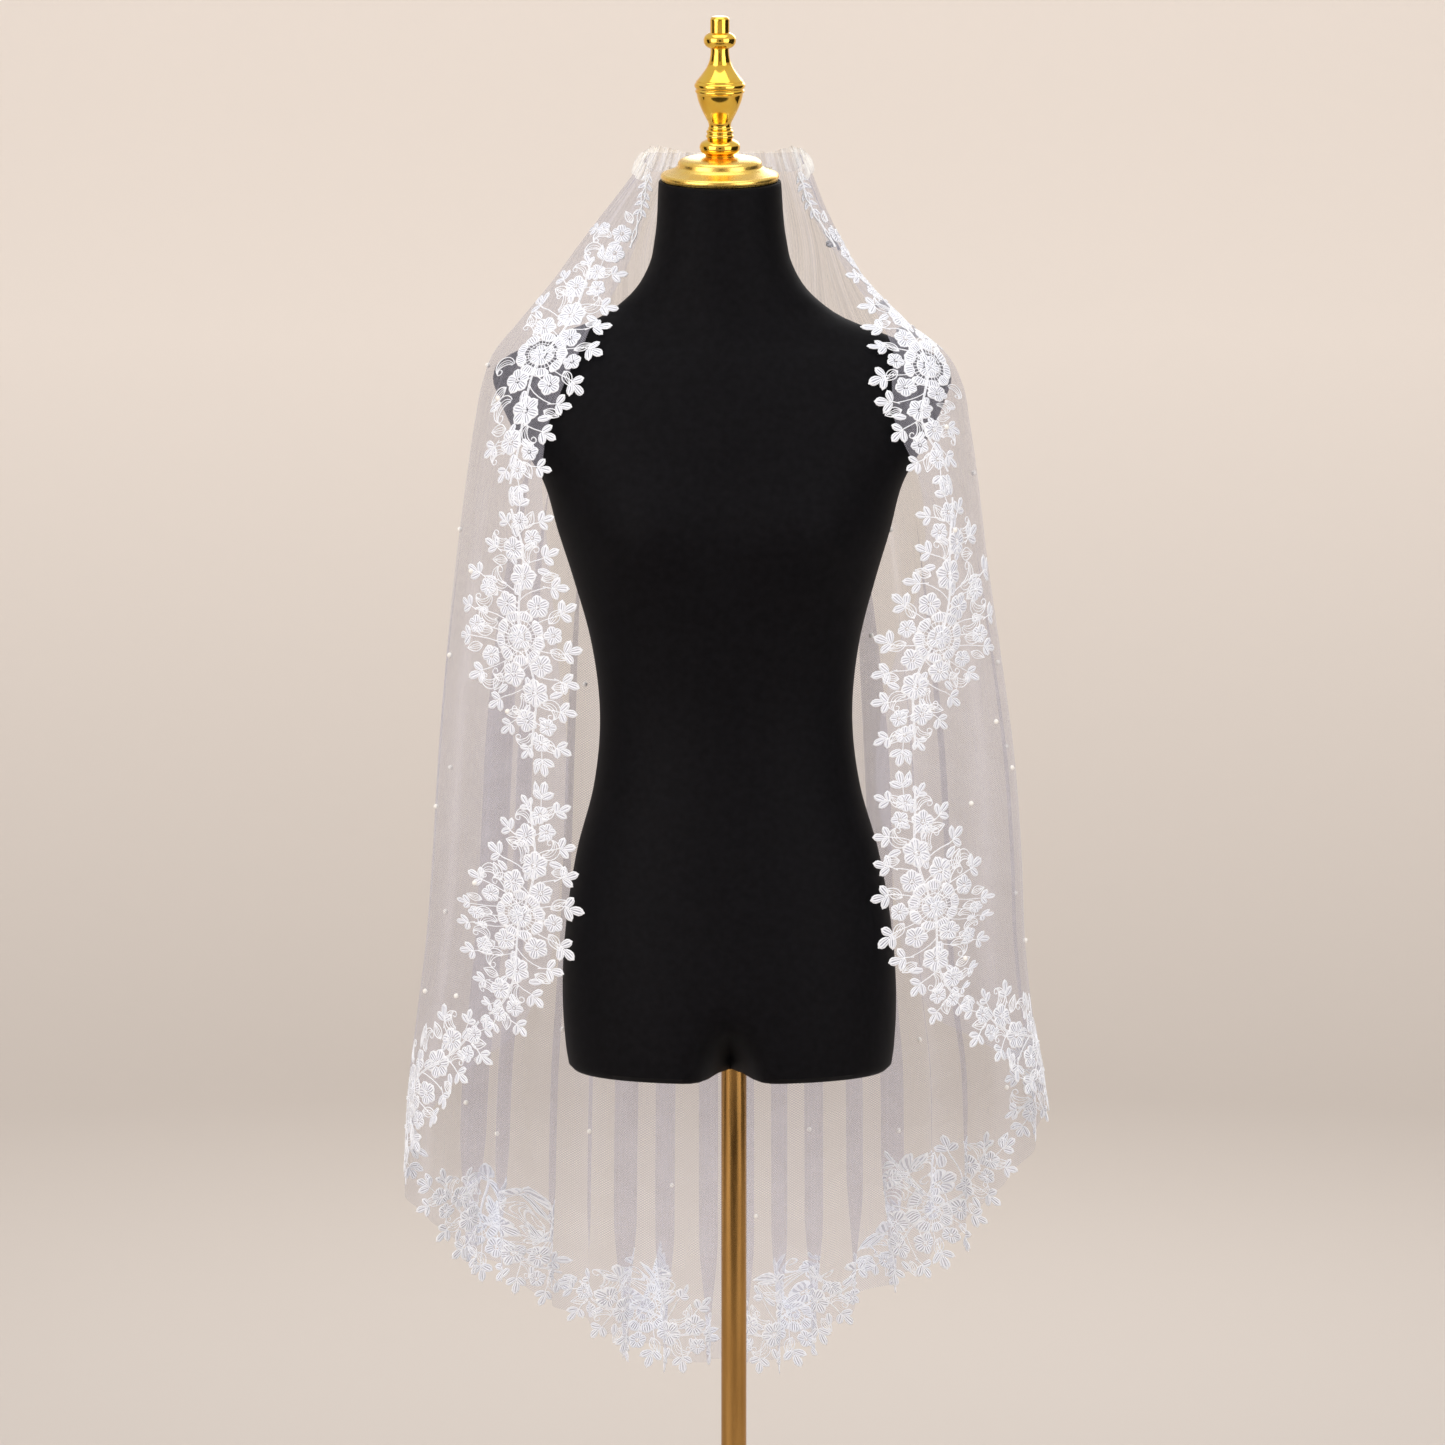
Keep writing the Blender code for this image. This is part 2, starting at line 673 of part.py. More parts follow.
def make_heading_band(material: bpy.types.Material) -> bpy.types.Object:
    """Make the narrow band that holds the gathers to the comb's spine."""
    bm = bmesh.new()
    width = COMB_PITCH * (COMB_TEETH - 0.5)
    bmesh.ops.create_grid(bm, x_segments=14, y_segments=1, size=1)
    inner = COMB_RADIUS + COMB_THICKNESS + SEAM_GAP
    back_y = COMB_BACK_Y + COMB_THICKNESS + SEAM_GAP
    centre = Vector((form_centre_x(FORM_TOP), back_y - inner, 0))
    for vert in bm.verts:
        along = vert.co.x * width / 2
        x, y = arc_strip_point(inner, back_y, along)
        vert.co = (x, y, COMB_TOP_Z + 2 * MM - (BAND_HEIGHT if vert.co.y < 0 else 0))
    bm.verts.index_update()
    outer = {}
    for vert in bm.verts:
        away = (vert.co - centre) * Vector((1, 1, 0))
        outer[vert.index] = vert.co + away.normalized() * BAND_THICKNESS
    thicken(bm, outer)
    return add_object("heading_band", bm, material)


# Lace border


def lobed_outline(lobes: int, outer: float, inner: float) -> list:
    """Return a round outline with lobes, from alternate radii."""
    radii = [outer, inner] * lobes
    return [(radius * math.cos(math.pi * i / lobes), radius * math.sin(math.pi * i / lobes))
            for i, radius in enumerate(radii)]


def leaves_outline(size: float) -> list:
    """Return the outline of three leaves that spread from one twig's end."""
    reach = {-62: 0.85, -31: 0.5, 0: 1.0, 31: 0.5, 62: 0.85}
    tips = [(size * length * math.cos(math.radians(turn)),
             size * length * math.sin(math.radians(turn))) for turn, length in reach.items()]
    return [(-2.2, -3.0)] + tips + [(-2.2, 3.0)]


def motif_outline(motif: Motif) -> list:
    """Return a motif's outline in the spray's own millimetres."""
    if motif.kind == "rose":
        shape = lobed_outline(6, motif.size, motif.size * 0.86)
    elif motif.kind == "blossom":
        shape = lobed_outline(5, motif.size, motif.size * 0.62)
    else:
        shape = leaves_outline(motif.size)
    c, s = math.cos(math.radians(motif.turn)), math.sin(math.radians(motif.turn))
    return [(motif.along + x * c - y * s, motif.inward + x * s + y * c) for x, y in shape]


def stem_outline(start: tuple, end: tuple) -> list:
    """Return the outline of a straight length of stem."""
    along = Vector((end[0] - start[0], end[1] - start[1])).normalized()
    side = Vector((-along.y, along.x)) * (STEM_WIDTH / 2)
    reach = along * (STEM_WIDTH / 3)
    first, last = Vector(start) - reach, Vector(end) + reach
    return [tuple(p) for p in (first - side, last - side, last + side, first + side)]


class Border:
    """The veil's edge from the left heading round the hem to the right one."""

    def __init__(self, grid: ClothGrid) -> None:
        self.grid = grid
        steps = np.linspace(0, 1, 160)
        places = ([(-1.0, d) for d in steps] + [(a, 1.0) for a in 2 * steps[1:] - 1]
                  + [(1.0, d) for d in steps[::-1][1:]])
        self.places = np.array(places)
        points = np.array([grid.at(a, d, 0) for a, d in places])
        gaps = np.linalg.norm(np.diff(points, axis=0), axis=1)
        self.distance = np.concatenate([[0], np.cumsum(gaps)])
        self.length = float(self.distance[-1])

    def cloth_place(self, along: float) -> np.ndarray:
        """Return the cloth place of a distance along the edge."""
        return np.array([np.interp(along, self.distance, self.places[:, axis])
                         for axis in (0, 1)])

    def spread(self, at: np.ndarray) -> tuple[Vector, Vector]:
        """Return what a unit across and a unit down measure at a place."""
        reach = 0.02
        sides = []
        for axis in (0, 1):
            shift = np.zeros(2)
            shift[axis] = reach
            inner = np.clip(at, [-1 + reach, reach], [1 - reach, 1 - reach])
            path = [self.grid.at(*(inner + shift * k), 0) for k in np.linspace(-1, 1, 7)]
            length = sum((b - a).length for a, b in zip(path, path[1:]))
            sides.append((path[-1] - path[0]).normalized() * (length / (2 * reach)))
        return sides[0], sides[1]

    def inward_place(self, along: float, inward: float) -> tuple[float, float]:
        """Return the cloth place of a point inward from the edge, in metres.

        It walks over the cloth in short steps, at right angles to the edge.
        """
        at = self.cloth_place(along)
        across_side, down_side = self.spread(at)
        before = self.cloth_place(max(0.0, along - EDGE_STEP))
        after = self.cloth_place(min(self.length, along + EDGE_STEP))
        run = after - before
        tangent = (across_side * run[0] + down_side * run[1]).normalized()
        count = max(1, math.ceil(abs(inward) / EDGE_STEP))
        for _ in range(count):
            across_side, down_side = self.spread(at)
            inside = tangent.cross(across_side.cross(down_side)).normalized()
            matrix = np.array([across_side, down_side]).T
            move, *_ = np.linalg.lstsq(matrix, np.array(inside) * inward / count, rcond=None)
            at = at + move
        return float(at[0]), float(at[1])


def spray_shapes(motifs: list, stems: list) -> list:
    """Return the outlines of one spray's motifs and stems, in millimetres."""
    shapes = [motif_outline(motif) for motif in motifs]
    for stem in stems:
        shapes += [stem_outline(start, end) for start, end in zip(stem, stem[1:])]
    return shapes


def trim_shapes() -> list:
    """Return the outline of the narrow scalloped trim beside the heading."""
    length = (TRIM_LENGTH - 2 * SPRAY_GAP) / MM
    steps = round(length / TRIM_SCALLOP) * 2
    xs = [length * i / steps for i in range(steps + 1)]
    inner = [(x, TRIM_WIDTH * (1.0 if i % 2 else 0.55)) for i, x in enumerate(xs)]
    return [[(x, -0.5) for x in xs] + inner[::-1]]


def placed_polygons(spray: Spray, shapes: list) -> list:
    """Return a spray's outlines, in metres along and inward."""
    placed = []
    for shape in shapes:
        points = [(x * MM * spray.scale, y * MM * spray.scale) for x, y in shape]
        if spray.reversed_way:
            points = [(spray.length - x, y) for x, y in reversed(points)]
        placed.append([(spray.start + x, y) for x, y in points])
    return placed


def union_of(polygons: list, lines: list) -> tuple[list, list]:
    """Return vertices and triangles that cover all the polygons once."""
    corners, faces, edges = [], [], []
    for polygon in polygons:
        faces.append(list(range(len(corners), len(corners) + len(polygon))))
        corners += [Vector(point) for point in polygon]
    for start, end in lines:
        edges.append((len(corners), len(corners) + 1))
        corners += [Vector(start), Vector(end)]
    made = delaunay_2d_cdt(corners, edges, faces, 0, 1e-6)
    triangles = [tuple(tri) for tri in made[2]
                 if any(holds(polygon, middle_of(made[0], tri)) for polygon in polygons)]
    for _ in range(PINCH_ROUNDS):
        pinched = pinched_corners(triangles)
        if not pinched:
            break
        for corner in pinched:
            touching = [tri for tri in triangles if corner in tri]
            triangles.remove(min(touching, key=lambda tri: triangle_area(made[0], tri)))
        triangles = largest_group(triangles)
    return made[0], largest_group(triangles)


def middle_of(corners: list, tri: tuple) -> Vector:
    """Return the middle of a triangle of the flat cloth."""
    return (corners[tri[0]] + corners[tri[1]] + corners[tri[2]]) / 3


def holds(polygon: list, point: Vector) -> bool:
    """Return whether an outline goes round a point."""
    inside = False
    for (x0, y0), (x1, y1) in zip(polygon, polygon[1:] + polygon[:1]):
        if (y0 > point.y) != (y1 > point.y):
            if point.x < x0 + (point.y - y0) * (x1 - x0) / (y1 - y0):
                inside = not inside
    return inside


def triangle_area(corners: list, tri: tuple) -> float:
    """Return the area of a triangle of the flat cloth."""
    a, b, c = (corners[i] for i in tri)
    return abs((b - a).cross(c - a)) / 2


def pinched_corners(triangles: list) -> set:
    """Return the corners where the outline meets itself in one point."""
    edges = {}
    for tri in triangles:
        for i in range(3):
            key = frozenset((tri[i - 1], tri[i]))
            edges[key] = edges.get(key, 0) + 1
    count = {}
    for key, uses in edges.items():
        if uses == 1:
            for corner in key:
                count[corner] = count.get(corner, 0) + 1
    return {corner for corner, uses in count.items() if uses > 2}


def largest_group(triangles: list) -> list:
    """Return the triangles of the largest part that hangs together."""
    by_edge = {}
    for index, tri in enumerate(triangles):
        for i in range(3):
            by_edge.setdefault(frozenset((tri[i - 1], tri[i])), []).append(index)
    left = set(range(len(triangles)))
    best = []
    while left:
        group, queue = [], [left.pop()]
        while queue:
            index = queue.pop()
            group.append(index)
            tri = triangles[index]
            for i in range(3):
                for other in by_edge[frozenset((tri[i - 1], tri[i]))]:
                    if other in left:
                        left.discard(other)
                        queue.append(other)
        best = max(best, group, key=len)
    return [triangles[index] for index in best]


def grid_lines(grid: ClothGrid, polygons: list) -> list:
    """Return the cloth grid's lines that a spray bends along."""
    xs = [x for polygon in polygons for x, _ in polygon]
    ys = [y for polygon in polygons for _, y in polygon]
    low_x, high_x = max(min(xs), grid.across[0]), min(max(xs), grid.across[-1])
    low_y, high_y = max(min(ys), 0.0), min(max(ys), grid.down[-1])
    lines = [((a, low_y), (a, high_y)) for a in grid.across if low_x < a < high_x]
    return lines + [((low_x, d), (high_x, d)) for d in grid.down if low_y < d < high_y]


def surface_tree(thing: bpy.types.Object) -> BVHTree:
    """Return the search tree of an object's surface."""
    bm = bmesh.new()
    bm.from_mesh(thing.data)
    tree = BVHTree.FromBMesh(bm)
    bm.free()
    return tree


def least_offset(grid: ClothGrid, places: list, faces: list, tulle: BVHTree) -> float:
    """Return how far out a spray's inner face lies to stay just off the tulle."""
    offset = WALL
    touches = True
    while touches:
        offset += LIFT_STEP
        layers = [grid.at(*place, offset + depth)
                  for depth in (0.0, LACE_THICKNESS) for place in places]
        outer_faces = [[corner + len(places) for corner in face] for face in faces]
        touches = bool(BVHTree.FromPolygons(layers, faces + outer_faces).overlap(tulle))
    return offset + SEAM_GAP


def make_spray(spray: Spray, shapes: list, border: Border, tulle: BVHTree,
               material: bpy.types.Material) -> bpy.types.Object:
    """Make one length of lace as a pierced slab just off the tulle."""
    grid = border.grid
    polygons = [[border.inward_place(x, y) for x, y in polygon]
                for polygon in placed_polygons(spray, shapes)]
    corners, triangles = union_of(polygons, grid_lines(grid, polygons))
    used = sorted({corner for tri in triangles for corner in tri})
    places = [corners[corner] for corner in used]
    index_of = {corner: index for index, corner in enumerate(used)}
    faces = [[index_of[corner] for corner in tri] for tri in triangles]
    inner_offset = least_offset(grid, places, faces, tulle)
    bm = bmesh.new()
    verts = [bm.verts.new(grid.at(*place, inner_offset)) for place in places]
    for face in faces:
        bm.faces.new([verts[index] for index in face])
    bm.verts.index_update()
    outer = {index: grid.at(*place, inner_offset + LACE_THICKNESS)
             for index, place in enumerate(places)}
    thicken(bm, outer)
    return add_object(spray.name, bm, material, smooth=False)


def border_sprays(border: Border) -> list[Spray]:
    """Return the lengths of lace, spaced evenly round the veil's edge."""
    run = border.length - 2 * TRIM_LENGTH
    count = round(run / SPRAY_LENGTH)
    pitch = run / count
    length = pitch - SPRAY_GAP
    return [Spray(f"lace_{i + 1:02d}", TRIM_LENGTH + i * pitch, length, i % 2 == 1,
                  length / SPRAY_LENGTH) for i in range(count)]


def trims(border: Border) -> list[Spray]:
    """Return the two narrow lengths that run up to the heading."""
    length = TRIM_LENGTH - 2 * SPRAY_GAP
    return [Spray("trim_left", SPRAY_GAP, length, False),
            Spray("trim_right", border.length - length - SPRAY_GAP, length, True)]


def main() -> None:
    """Build every sub-part."""
    clear_scene()
    jersey = make_material("black_jersey", (0.012, 0.012, 0.014), 0.85)
    gold = make_material("polished_gold", (0.83, 0.58, 0.16), 0.14, metallic=1.0)
    brass = make_material("brushed_brass", (0.55, 0.37, 0.14), 0.28, metallic=1.0)
    black = make_material("black_enamel", (0.02, 0.02, 0.02), 0.4)
    tulle = make_material("ivory_tulle", (0.93, 0.92, 0.93), 0.7, alpha=0.35)
    lace = make_material("white_lace", (0.95, 0.95, 0.96), 0.6)
    wire = make_material("clear_comb", (0.85, 0.87, 0.88), 0.2)

    form = make_form(jersey)
    seat_on_neck(make_cap(gold), SEAM_GAP)
    seat_on_neck(make_finial(gold), CAP_HEIGHT * MM + 2 * SEAM_GAP)
    make_stand(brass, black)

    grid = ClothGrid(Drape(), surface_tree(form))
    tulle_surface = surface_tree(make_tulle(grid, tulle))
    make_comb(wire)
    make_heading_band(tulle)
    border = Border(grid)
    full_shapes = spray_shapes(SPRAY_MOTIFS, SPRAY_STEMS)
    plain_shapes = spray_shapes(SPRAY_MOTIFS[:-INWARD_MOTIFS], SPRAY_STEMS[:-INWARD_STEMS])
    for spray in border_sprays(border):
        from_back = abs(spray.start + spray.length / 2 - border.length / 2)
        flat = FLAT_FROM < from_back < FLAT_TO
        make_spray(spray, full_shapes if flat else plain_shapes, border, tulle_surface, lace)
    for spray in trims(border):
        make_spray(spray, trim_shapes(), border, tulle_surface, lace)


if __name__ == "__main__":
    main()
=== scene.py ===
"""Looks of a bridal veil with a corded lace border, worn on a limbless dress form.

Metres, +Z up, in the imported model's frame: the origin is on the floor under
the pole, -Y is the front and +X is on the viewer's right.
"""

from __future__ import annotations

import logging
import math
import random
from dataclasses import dataclass, field
from enum import Enum
from typing import Callable, NamedTuple

import bmesh
import bpy
import numpy as np
from mathutils import Matrix, Vector
from mathutils.bvhtree import BVHTree


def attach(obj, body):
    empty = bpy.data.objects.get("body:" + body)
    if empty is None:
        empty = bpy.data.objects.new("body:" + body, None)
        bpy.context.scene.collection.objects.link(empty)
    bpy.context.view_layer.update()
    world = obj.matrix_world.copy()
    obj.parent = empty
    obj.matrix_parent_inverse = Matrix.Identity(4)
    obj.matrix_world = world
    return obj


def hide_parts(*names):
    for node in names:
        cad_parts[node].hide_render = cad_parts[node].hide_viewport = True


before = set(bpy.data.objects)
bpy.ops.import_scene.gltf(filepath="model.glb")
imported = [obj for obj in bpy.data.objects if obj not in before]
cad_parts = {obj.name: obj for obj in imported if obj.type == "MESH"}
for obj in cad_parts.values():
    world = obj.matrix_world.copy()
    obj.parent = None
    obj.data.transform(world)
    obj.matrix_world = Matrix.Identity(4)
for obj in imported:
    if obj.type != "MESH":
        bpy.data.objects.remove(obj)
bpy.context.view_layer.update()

MM = 0.001
BODY = "root"
# A wave texture of scale 1 repeats every 2 pi / 20 of its coordinate
WAVE_PERIOD = 2 * math.pi / 20

log = logging.getLogger("veil")


# Shader helper


class Shader:
    """A node material being made, with its Principled shader at hand."""

    def __init__(self, name: str) -> None:
        """Start a material.

        Args:
            name: The material's name.
        """
        self.material = bpy.data.materials.new(name)
        self.material.use_nodes = True
        self.tree = self.material.node_tree
        self.principled = self.tree.nodes["Principled BSDF"]

    def set(self, **values: object) -> None:
        """Set sockets of the Principled shader, with _ for a space."""
        for name, value in values.items():
            self.principled.inputs[name.replace("_", " ")].default_value = value

    def node(self, kind: str, **values: object) -> bpy.types.Node:
        """Add a node.

        Args:
            kind: The node's type, without its ShaderNode prefix.
            **values: Its properties, or its sockets by name with _ for a space.

        Returns:
            The new node.
        """
        node = self.tree.nodes.new("ShaderNode" + kind)
        for name, value in values.items():
            if hasattr(node, name):
                setattr(node, name, value)
            else:
                node.inputs[name.replace("_", " ")].default_value = value
        return node

    def link(self, start: bpy.types.NodeSocket, end: bpy.types.NodeSocket | str) -> None:
        """Link a socket to another one, or to a Principled input by name."""
        if isinstance(end, str):
            end = self.principled.inputs[end]
        self.tree.links.new(start, end)

    def coordinates(self, output: str = "Object", turn: float = 0.0,
                    scale: tuple = (1, 1, 1)) -> bpy.types.NodeSocket:
        """Return texture coordinates, turned about Z and scaled."""
        place = self.node("TexCoord")
        mapping = self.node("Mapping", Rotation=(0, 0, turn), Scale=scale)
        self.link(place.outputs[output], mapping.inputs["Vector"])
        return mapping.outputs["Vector"]

    def noise(self, where: bpy.types.NodeSocket, size: float,
              detail: float = 2.0) -> bpy.types.NodeSocket:
        """Return noise whose features are about size metres across."""
        node = self.node("TexNoise", Scale=1 / size, Detail=detail)
        self.link(where, node.inputs["Vector"])
        return node.outputs["Fac"]

    def waves(self, where: bpy.types.NodeSocket, period: float,
              direction: str = "X", distortion: float = 0.0) -> bpy.types.NodeSocket:
        """Return bands that repeat every period metres."""
        node = self.node("TexWave", wave_type="BANDS", bands_direction=direction,
                         Scale=WAVE_PERIOD / period, Distortion=distortion)
        self.link(where, node.inputs["Vector"])
        return node.outputs["Fac"]

    def ramp(self, factor: bpy.types.NodeSocket, stops: list) -> bpy.types.NodeSocket:
        """Return a colour ramp of a factor.

        Args:
            factor: What the ramp reads.
            stops: Pairs of a position and a colour or a grey value.

        Returns:
            The ramp's colour socket.
        """
        node = self.node("ValToRGB")
        elements = node.color_ramp.elements
        while len(elements) < len(stops):
            elements.new(0.5)
        for element, (position, value) in zip(elements, stops):
            element.position = position
            element.color = (*value, 1) if isinstance(value, tuple) else (value,) * 3 + (1,)
        self.link(factor, node.inputs["Fac"])
        return node.outputs["Color"]

    def combine(self, operation: str, first: bpy.types.NodeSocket,
                second: bpy.types.NodeSocket | float) -> bpy.types.NodeSocket:
        """Return two values combined by a math operation."""
        node = self.node("Math", operation=operation)
        self.link(first, node.inputs[0])
        if isinstance(second, (int, float)):
            node.inputs[1].default_value = second
        else:
            self.link(second, node.inputs[1])
        return node.outputs["Value"]

    def mottle(self, socket: str, where: bpy.types.NodeSocket, size: float, detail: float,
               *stops: tuple) -> None:
        """Let noise drive one of the shader's sockets.

        Args:
            socket: The socket's name.
            where: The coordinates of the noise.
            size: How large its patches are, in metres.
            detail: How many finer layers it has.
            *stops: Pairs of a position and a colour or a grey value.
        """
        self.link(self.ramp(self.noise(where, size, detail), list(stops)), socket)

    def bump(self, height: bpy.types.NodeSocket, strength: float, distance: float) -> None:
        """Give the shader a bump, distance metres deep."""
        node = self.node("Bump", Strength=strength, Distance=distance)
        self.link(height, node.inputs["Height"])
        self.link(node.outputs["Normal"], "Normal")


# Finishes


@dataclass(frozen=True)
class JerseyFinish:
    """Matt black knit, drawn tight over the form."""

    dark: tuple = (0.0022, 0.0020, 0.0027)
    light: tuple = (0.0046, 0.0043, 0.0056)
    wale: float = 0.9 * MM

    def material(self) -> bpy.types.Material:
        """Return the knit's material."""
        shader = Shader("black_jersey")
        where = shader.coordinates()
        shader.mottle("Base Color", where, 6 * MM, 4, (0.3, self.dark), (0.75, self.light))
        shader.set(Roughness=0.60, Specular_IOR_Level=0.07)
        wales = shader.waves(where, self.wale, "X", 0.6)
        courses = shader.waves(where, self.wale * 1.2, "Z", 0.6)
        shader.bump(shader.combine("MULTIPLY", wales, courses), 0.25, 0.15 * MM)
        return shader.material


@dataclass(frozen=True)
class MetalFinish:
    """Plated and polished metal, a little uneven in its shine."""

    name: str
    colour: tuple
    worn: tuple
    shine: float
    dull: float
    streak: float = 1.0

    def material(self) -> bpy.types.Material:
        """Return the metal's material."""
        shader = Shader(self.name)
        where = shader.coordinates(scale=(1, 1, 1 / self.streak))
        shader.mottle("Base Color", where, 9 * MM, 5, (0.35, self.colour), (0.8, self.worn))
        shader.mottle("Roughness", where, 3 * MM, 6, (0.3, self.shine), (0.8, self.dull))
        shader.set(Metallic=1.0)
        shader.bump(shader.noise(where, 1.2 * MM, 3), 0.04, 0.05 * MM)
        return shader.material


@dataclass(frozen=True)
class EnamelFinish:
    """Black enamel of the base plate, with a faint orange peel."""

    dark: tuple = (0.010, 0.010, 0.011)
    light: tuple = (0.022, 0.021, 0.020)
    shine: float = 0.26
    dull: float = 0.42

    def material(self) -> bpy.types.Material:
        """Return the enamel's material."""
        shader = Shader("black_enamel")
        where = shader.coordinates()
        shader.mottle("Base Color", where, 40 * MM, 6, (0.3, self.dark), (0.8, self.light))
        shader.mottle("Roughness", where, 12 * MM, 6, (0.3, self.shine), (0.8, self.dull))
        shader.bump(shader.noise(where, 1.5 * MM, 2), 0.12, 0.1 * MM)
        return shader.material


@dataclass(frozen=True)
class TulleFinish:
    """Soft fine net, see-through, of crossed threads, its pale tint greyed with painted shade for the
    light the net keeps from itself.

    UV is the flat cloth in metres: x across, y down from the heading.
    """

    # thread and bright: the net's own pale tint, greyed with painted shade for the net shading its own
    # layers
    thread: tuple = (0.49, 0.475, 0.56)
    bright: tuple = (0.61, 0.60, 0.69)
    mesh: float = 1.3 * MM
    open_alpha: float = 0.11
    thread_alpha: float = 0.36
    slant: float = math.radians(33)
    streak: float = 5 * MM
    streak_alpha: float = 0.20
    heading: float = 0.34

    def net(self, shader: Shader) -> bpy.types.NodeSocket:
        """Return how much the crossed threads cover, from 0 to 1."""
        threads = None
        for turn in (-self.slant, self.slant):
            bands = shader.waves(shader.coordinates("UV", turn), self.mesh, "X")
            threads = bands if threads is None else shader.combine("MAXIMUM", threads, bands)
        return threads

    def gathers(self, shader: Shader) -> bpy.types.NodeSocket:
        """Return long soft streaks of bunched threads, strongest at the heading."""
        streaks = shader.ramp(shader.noise(shader.coordinates("UV", scale=(1, 0.025, 1)),
                                           self.streak, 3), [(0.48, 0.0), (0.72, 1.0)])
        parts = shader.node("SeparateXYZ")
        shader.link(shader.coordinates("UV"), parts.inputs["Vector"])
        fade = shader.ramp(parts.outputs["Y"], [(0.02, 1.0), (self.heading, 0.22), (1.0, 0.13)])
        return shader.combine("MULTIPLY", shader.combine("MULTIPLY", streaks, fade),
                              self.streak_alpha)

    def material(self) -> bpy.types.Material:
        """Return the net's material."""
        shader = Shader("ivory_tulle")
        cover = shader.ramp(self.net(shader), [(0.55, self.open_alpha), (0.95, self.thread_alpha)])
        shader.link(shader.combine("ADD", cover, self.gathers(shader)), "Alpha")
        # Painted shade: the thread colour is greyed to stand in for the net shading itself
        shader.mottle("Base Color", shader.coordinates("UV"), 25 * MM, 3, (0.3, self.thread),
                      (0.75, self.bright))
        shader.set(Roughness=0.65, Sheen_Weight=0.8, Sheen_Roughness=0.4, Specular_IOR_Level=0.25,
                   Sheen_Tint=(0.93, 0.92, 1.0, 1.0))
        return shader.material


@dataclass(frozen=True)
class GatheredTulleFinish:
    """The same net bunched into the heading, where many layers lie together, with painted shade
    darkening the hollows of its pleats.
    """

    name: str = "gathered_tulle"
    # Painted shade: the pleats' hollows are darker than their crests
    hollow_painted_shade: tuple = (0.88, 0.86, 0.84)
    crest: tuple = (0.97, 0.96, 0.93)
    pleat: float = 3.0 * MM
    thin: float = 0.30
    dense: float = 0.72

    def material(self) -> bpy.types.Material:
        """Return the bunched net's material."""
        shader = Shader(self.name)
        where = shader.coordinates("UV", scale=(1, 0.15, 1))
        bunches = shader.noise(where, self.pleat, 4)
        # Painted shade: the bunches that raise the bump also darken the hollows between the pleats
        shader.link(shader.ramp(bunches, [(0.3, self.hollow_painted_shade), (0.62, self.crest)]), "Base Color")
        shader.link(shader.ramp(bunches, [(0.3, self.thin), (0.6, self.dense)]), "Alpha")
        shader.set(Roughness=0.6, Sheen_Weight=0.8, Sheen_Roughness=0.4)
        shader.bump(bunches, 0.3, 0.5 * MM)
        return shader.material


@dataclass(frozen=True)
class LaceFinish:
    """White rayon: bright cords, and petals filled with satin stitches, with painted shade in the gaps
    between the stitches.
    """

    cord: tuple = (0.93, 0.945, 0.98)
    cord_shade: tuple = (0.82, 0.84, 0.90)
    satin: tuple = (0.86, 0.875, 0.93)
    # Painted shade: the grey of the grooves between the satin stitches
    satin_gap_painted_shade: tuple = (0.56, 0.58, 0.66)
    stitch: float = 2.4
    gap_alpha: float = 0.42

    def material(self) -> bpy.types.Material:
        """Return the thread's material."""
        shader = Shader("white_lace")
        stitches = shader.node("Attribute", attribute_name="stitch")
        parts = shader.node("SeparateXYZ")
        shader.link(stitches.outputs["Vector"], parts.inputs["Vector"])
        threads = shader.waves(stitches.outputs["Vector"], self.stitch, "X", 1.2)
        # Painted shade: the gaps between the raised stitches are darker; their see-through is the alpha
        # below
        satin = shader.ramp(threads, [(0.25, self.satin_gap_painted_shade), (0.62, self.satin)])
        where = shader.coordinates()
        cord = shader.ramp(shader.noise(where, 1.6 * MM, 3), [(0.3, self.cord_shade), (0.6, self.cord)])
        colour = shader.node("Mix", data_type="RGBA")
        shader.link(shader.ramp(parts.outputs["Z"], [(0.25, 0.0), (0.75, 1.0)]), colour.inputs[0])
        shader.link(cord, colour.inputs[6])
        shader.link(satin, colour.inputs[7])
        shader.link(colour.outputs[2], "Base Color")
        open_net = shader.combine("MULTIPLY", shader.ramp(threads, [(0.22, 1.0), (0.60, 0.0)]),
                                  parts.outputs["Z"])
        open_net = shader.combine("MULTIPLY", open_net, self.gap_alpha - 1)
        shader.link(shader.combine("ADD", open_net, 1.0), "Alpha")
        shader.set(Roughness=0.40, Sheen_Weight=0.2, Sheen_Roughness=0.4, Specular_IOR_Level=0.4)
        raised = shader.combine("MULTIPLY", threads, parts.outputs["Z"])
        raised = shader.combine("ADD", raised, shader.noise(where, 0.5 * MM, 2))
        shader.bump(raised, 0.5, 0.16 * MM)
        return shader.material


@dataclass(frozen=True)
class PearlFinish:
    """Small imitation pearls."""

    cool: tuple = (0.88, 0.86, 0.84)
    warm: tuple = (0.96, 0.92, 0.86)

    def material(self) -> bpy.types.Material:
        """Return the pearl's material."""
        shader = Shader("pearl")
        where = shader.coordinates()
        shader.mottle("Base Color", where, 3 * MM, 2, (0.3, self.cool), (0.7, self.warm))
        shader.set(Roughness=0.18, Coat_Weight=0.7, Coat_Roughness=0.08)
        return shader.material


@dataclass(frozen=True)
class CombFinish:
    """Clear moulded plastic, a little cloudy."""

    clear: tuple = (0.80, 0.83, 0.85)
    cloudy: tuple = (0.90, 0.91, 0.92)

    def material(self) -> bpy.types.Material:
        """Return the plastic's material."""
        shader = Shader("clear_comb")
        where = shader.coordinates()
        shader.mottle("Base Color", where, 8 * MM, 2, (0.3, self.clear), (0.7, self.cloudy))
        shader.set(Roughness=0.12, Alpha=0.55, IOR=1.49)
        return shader.material


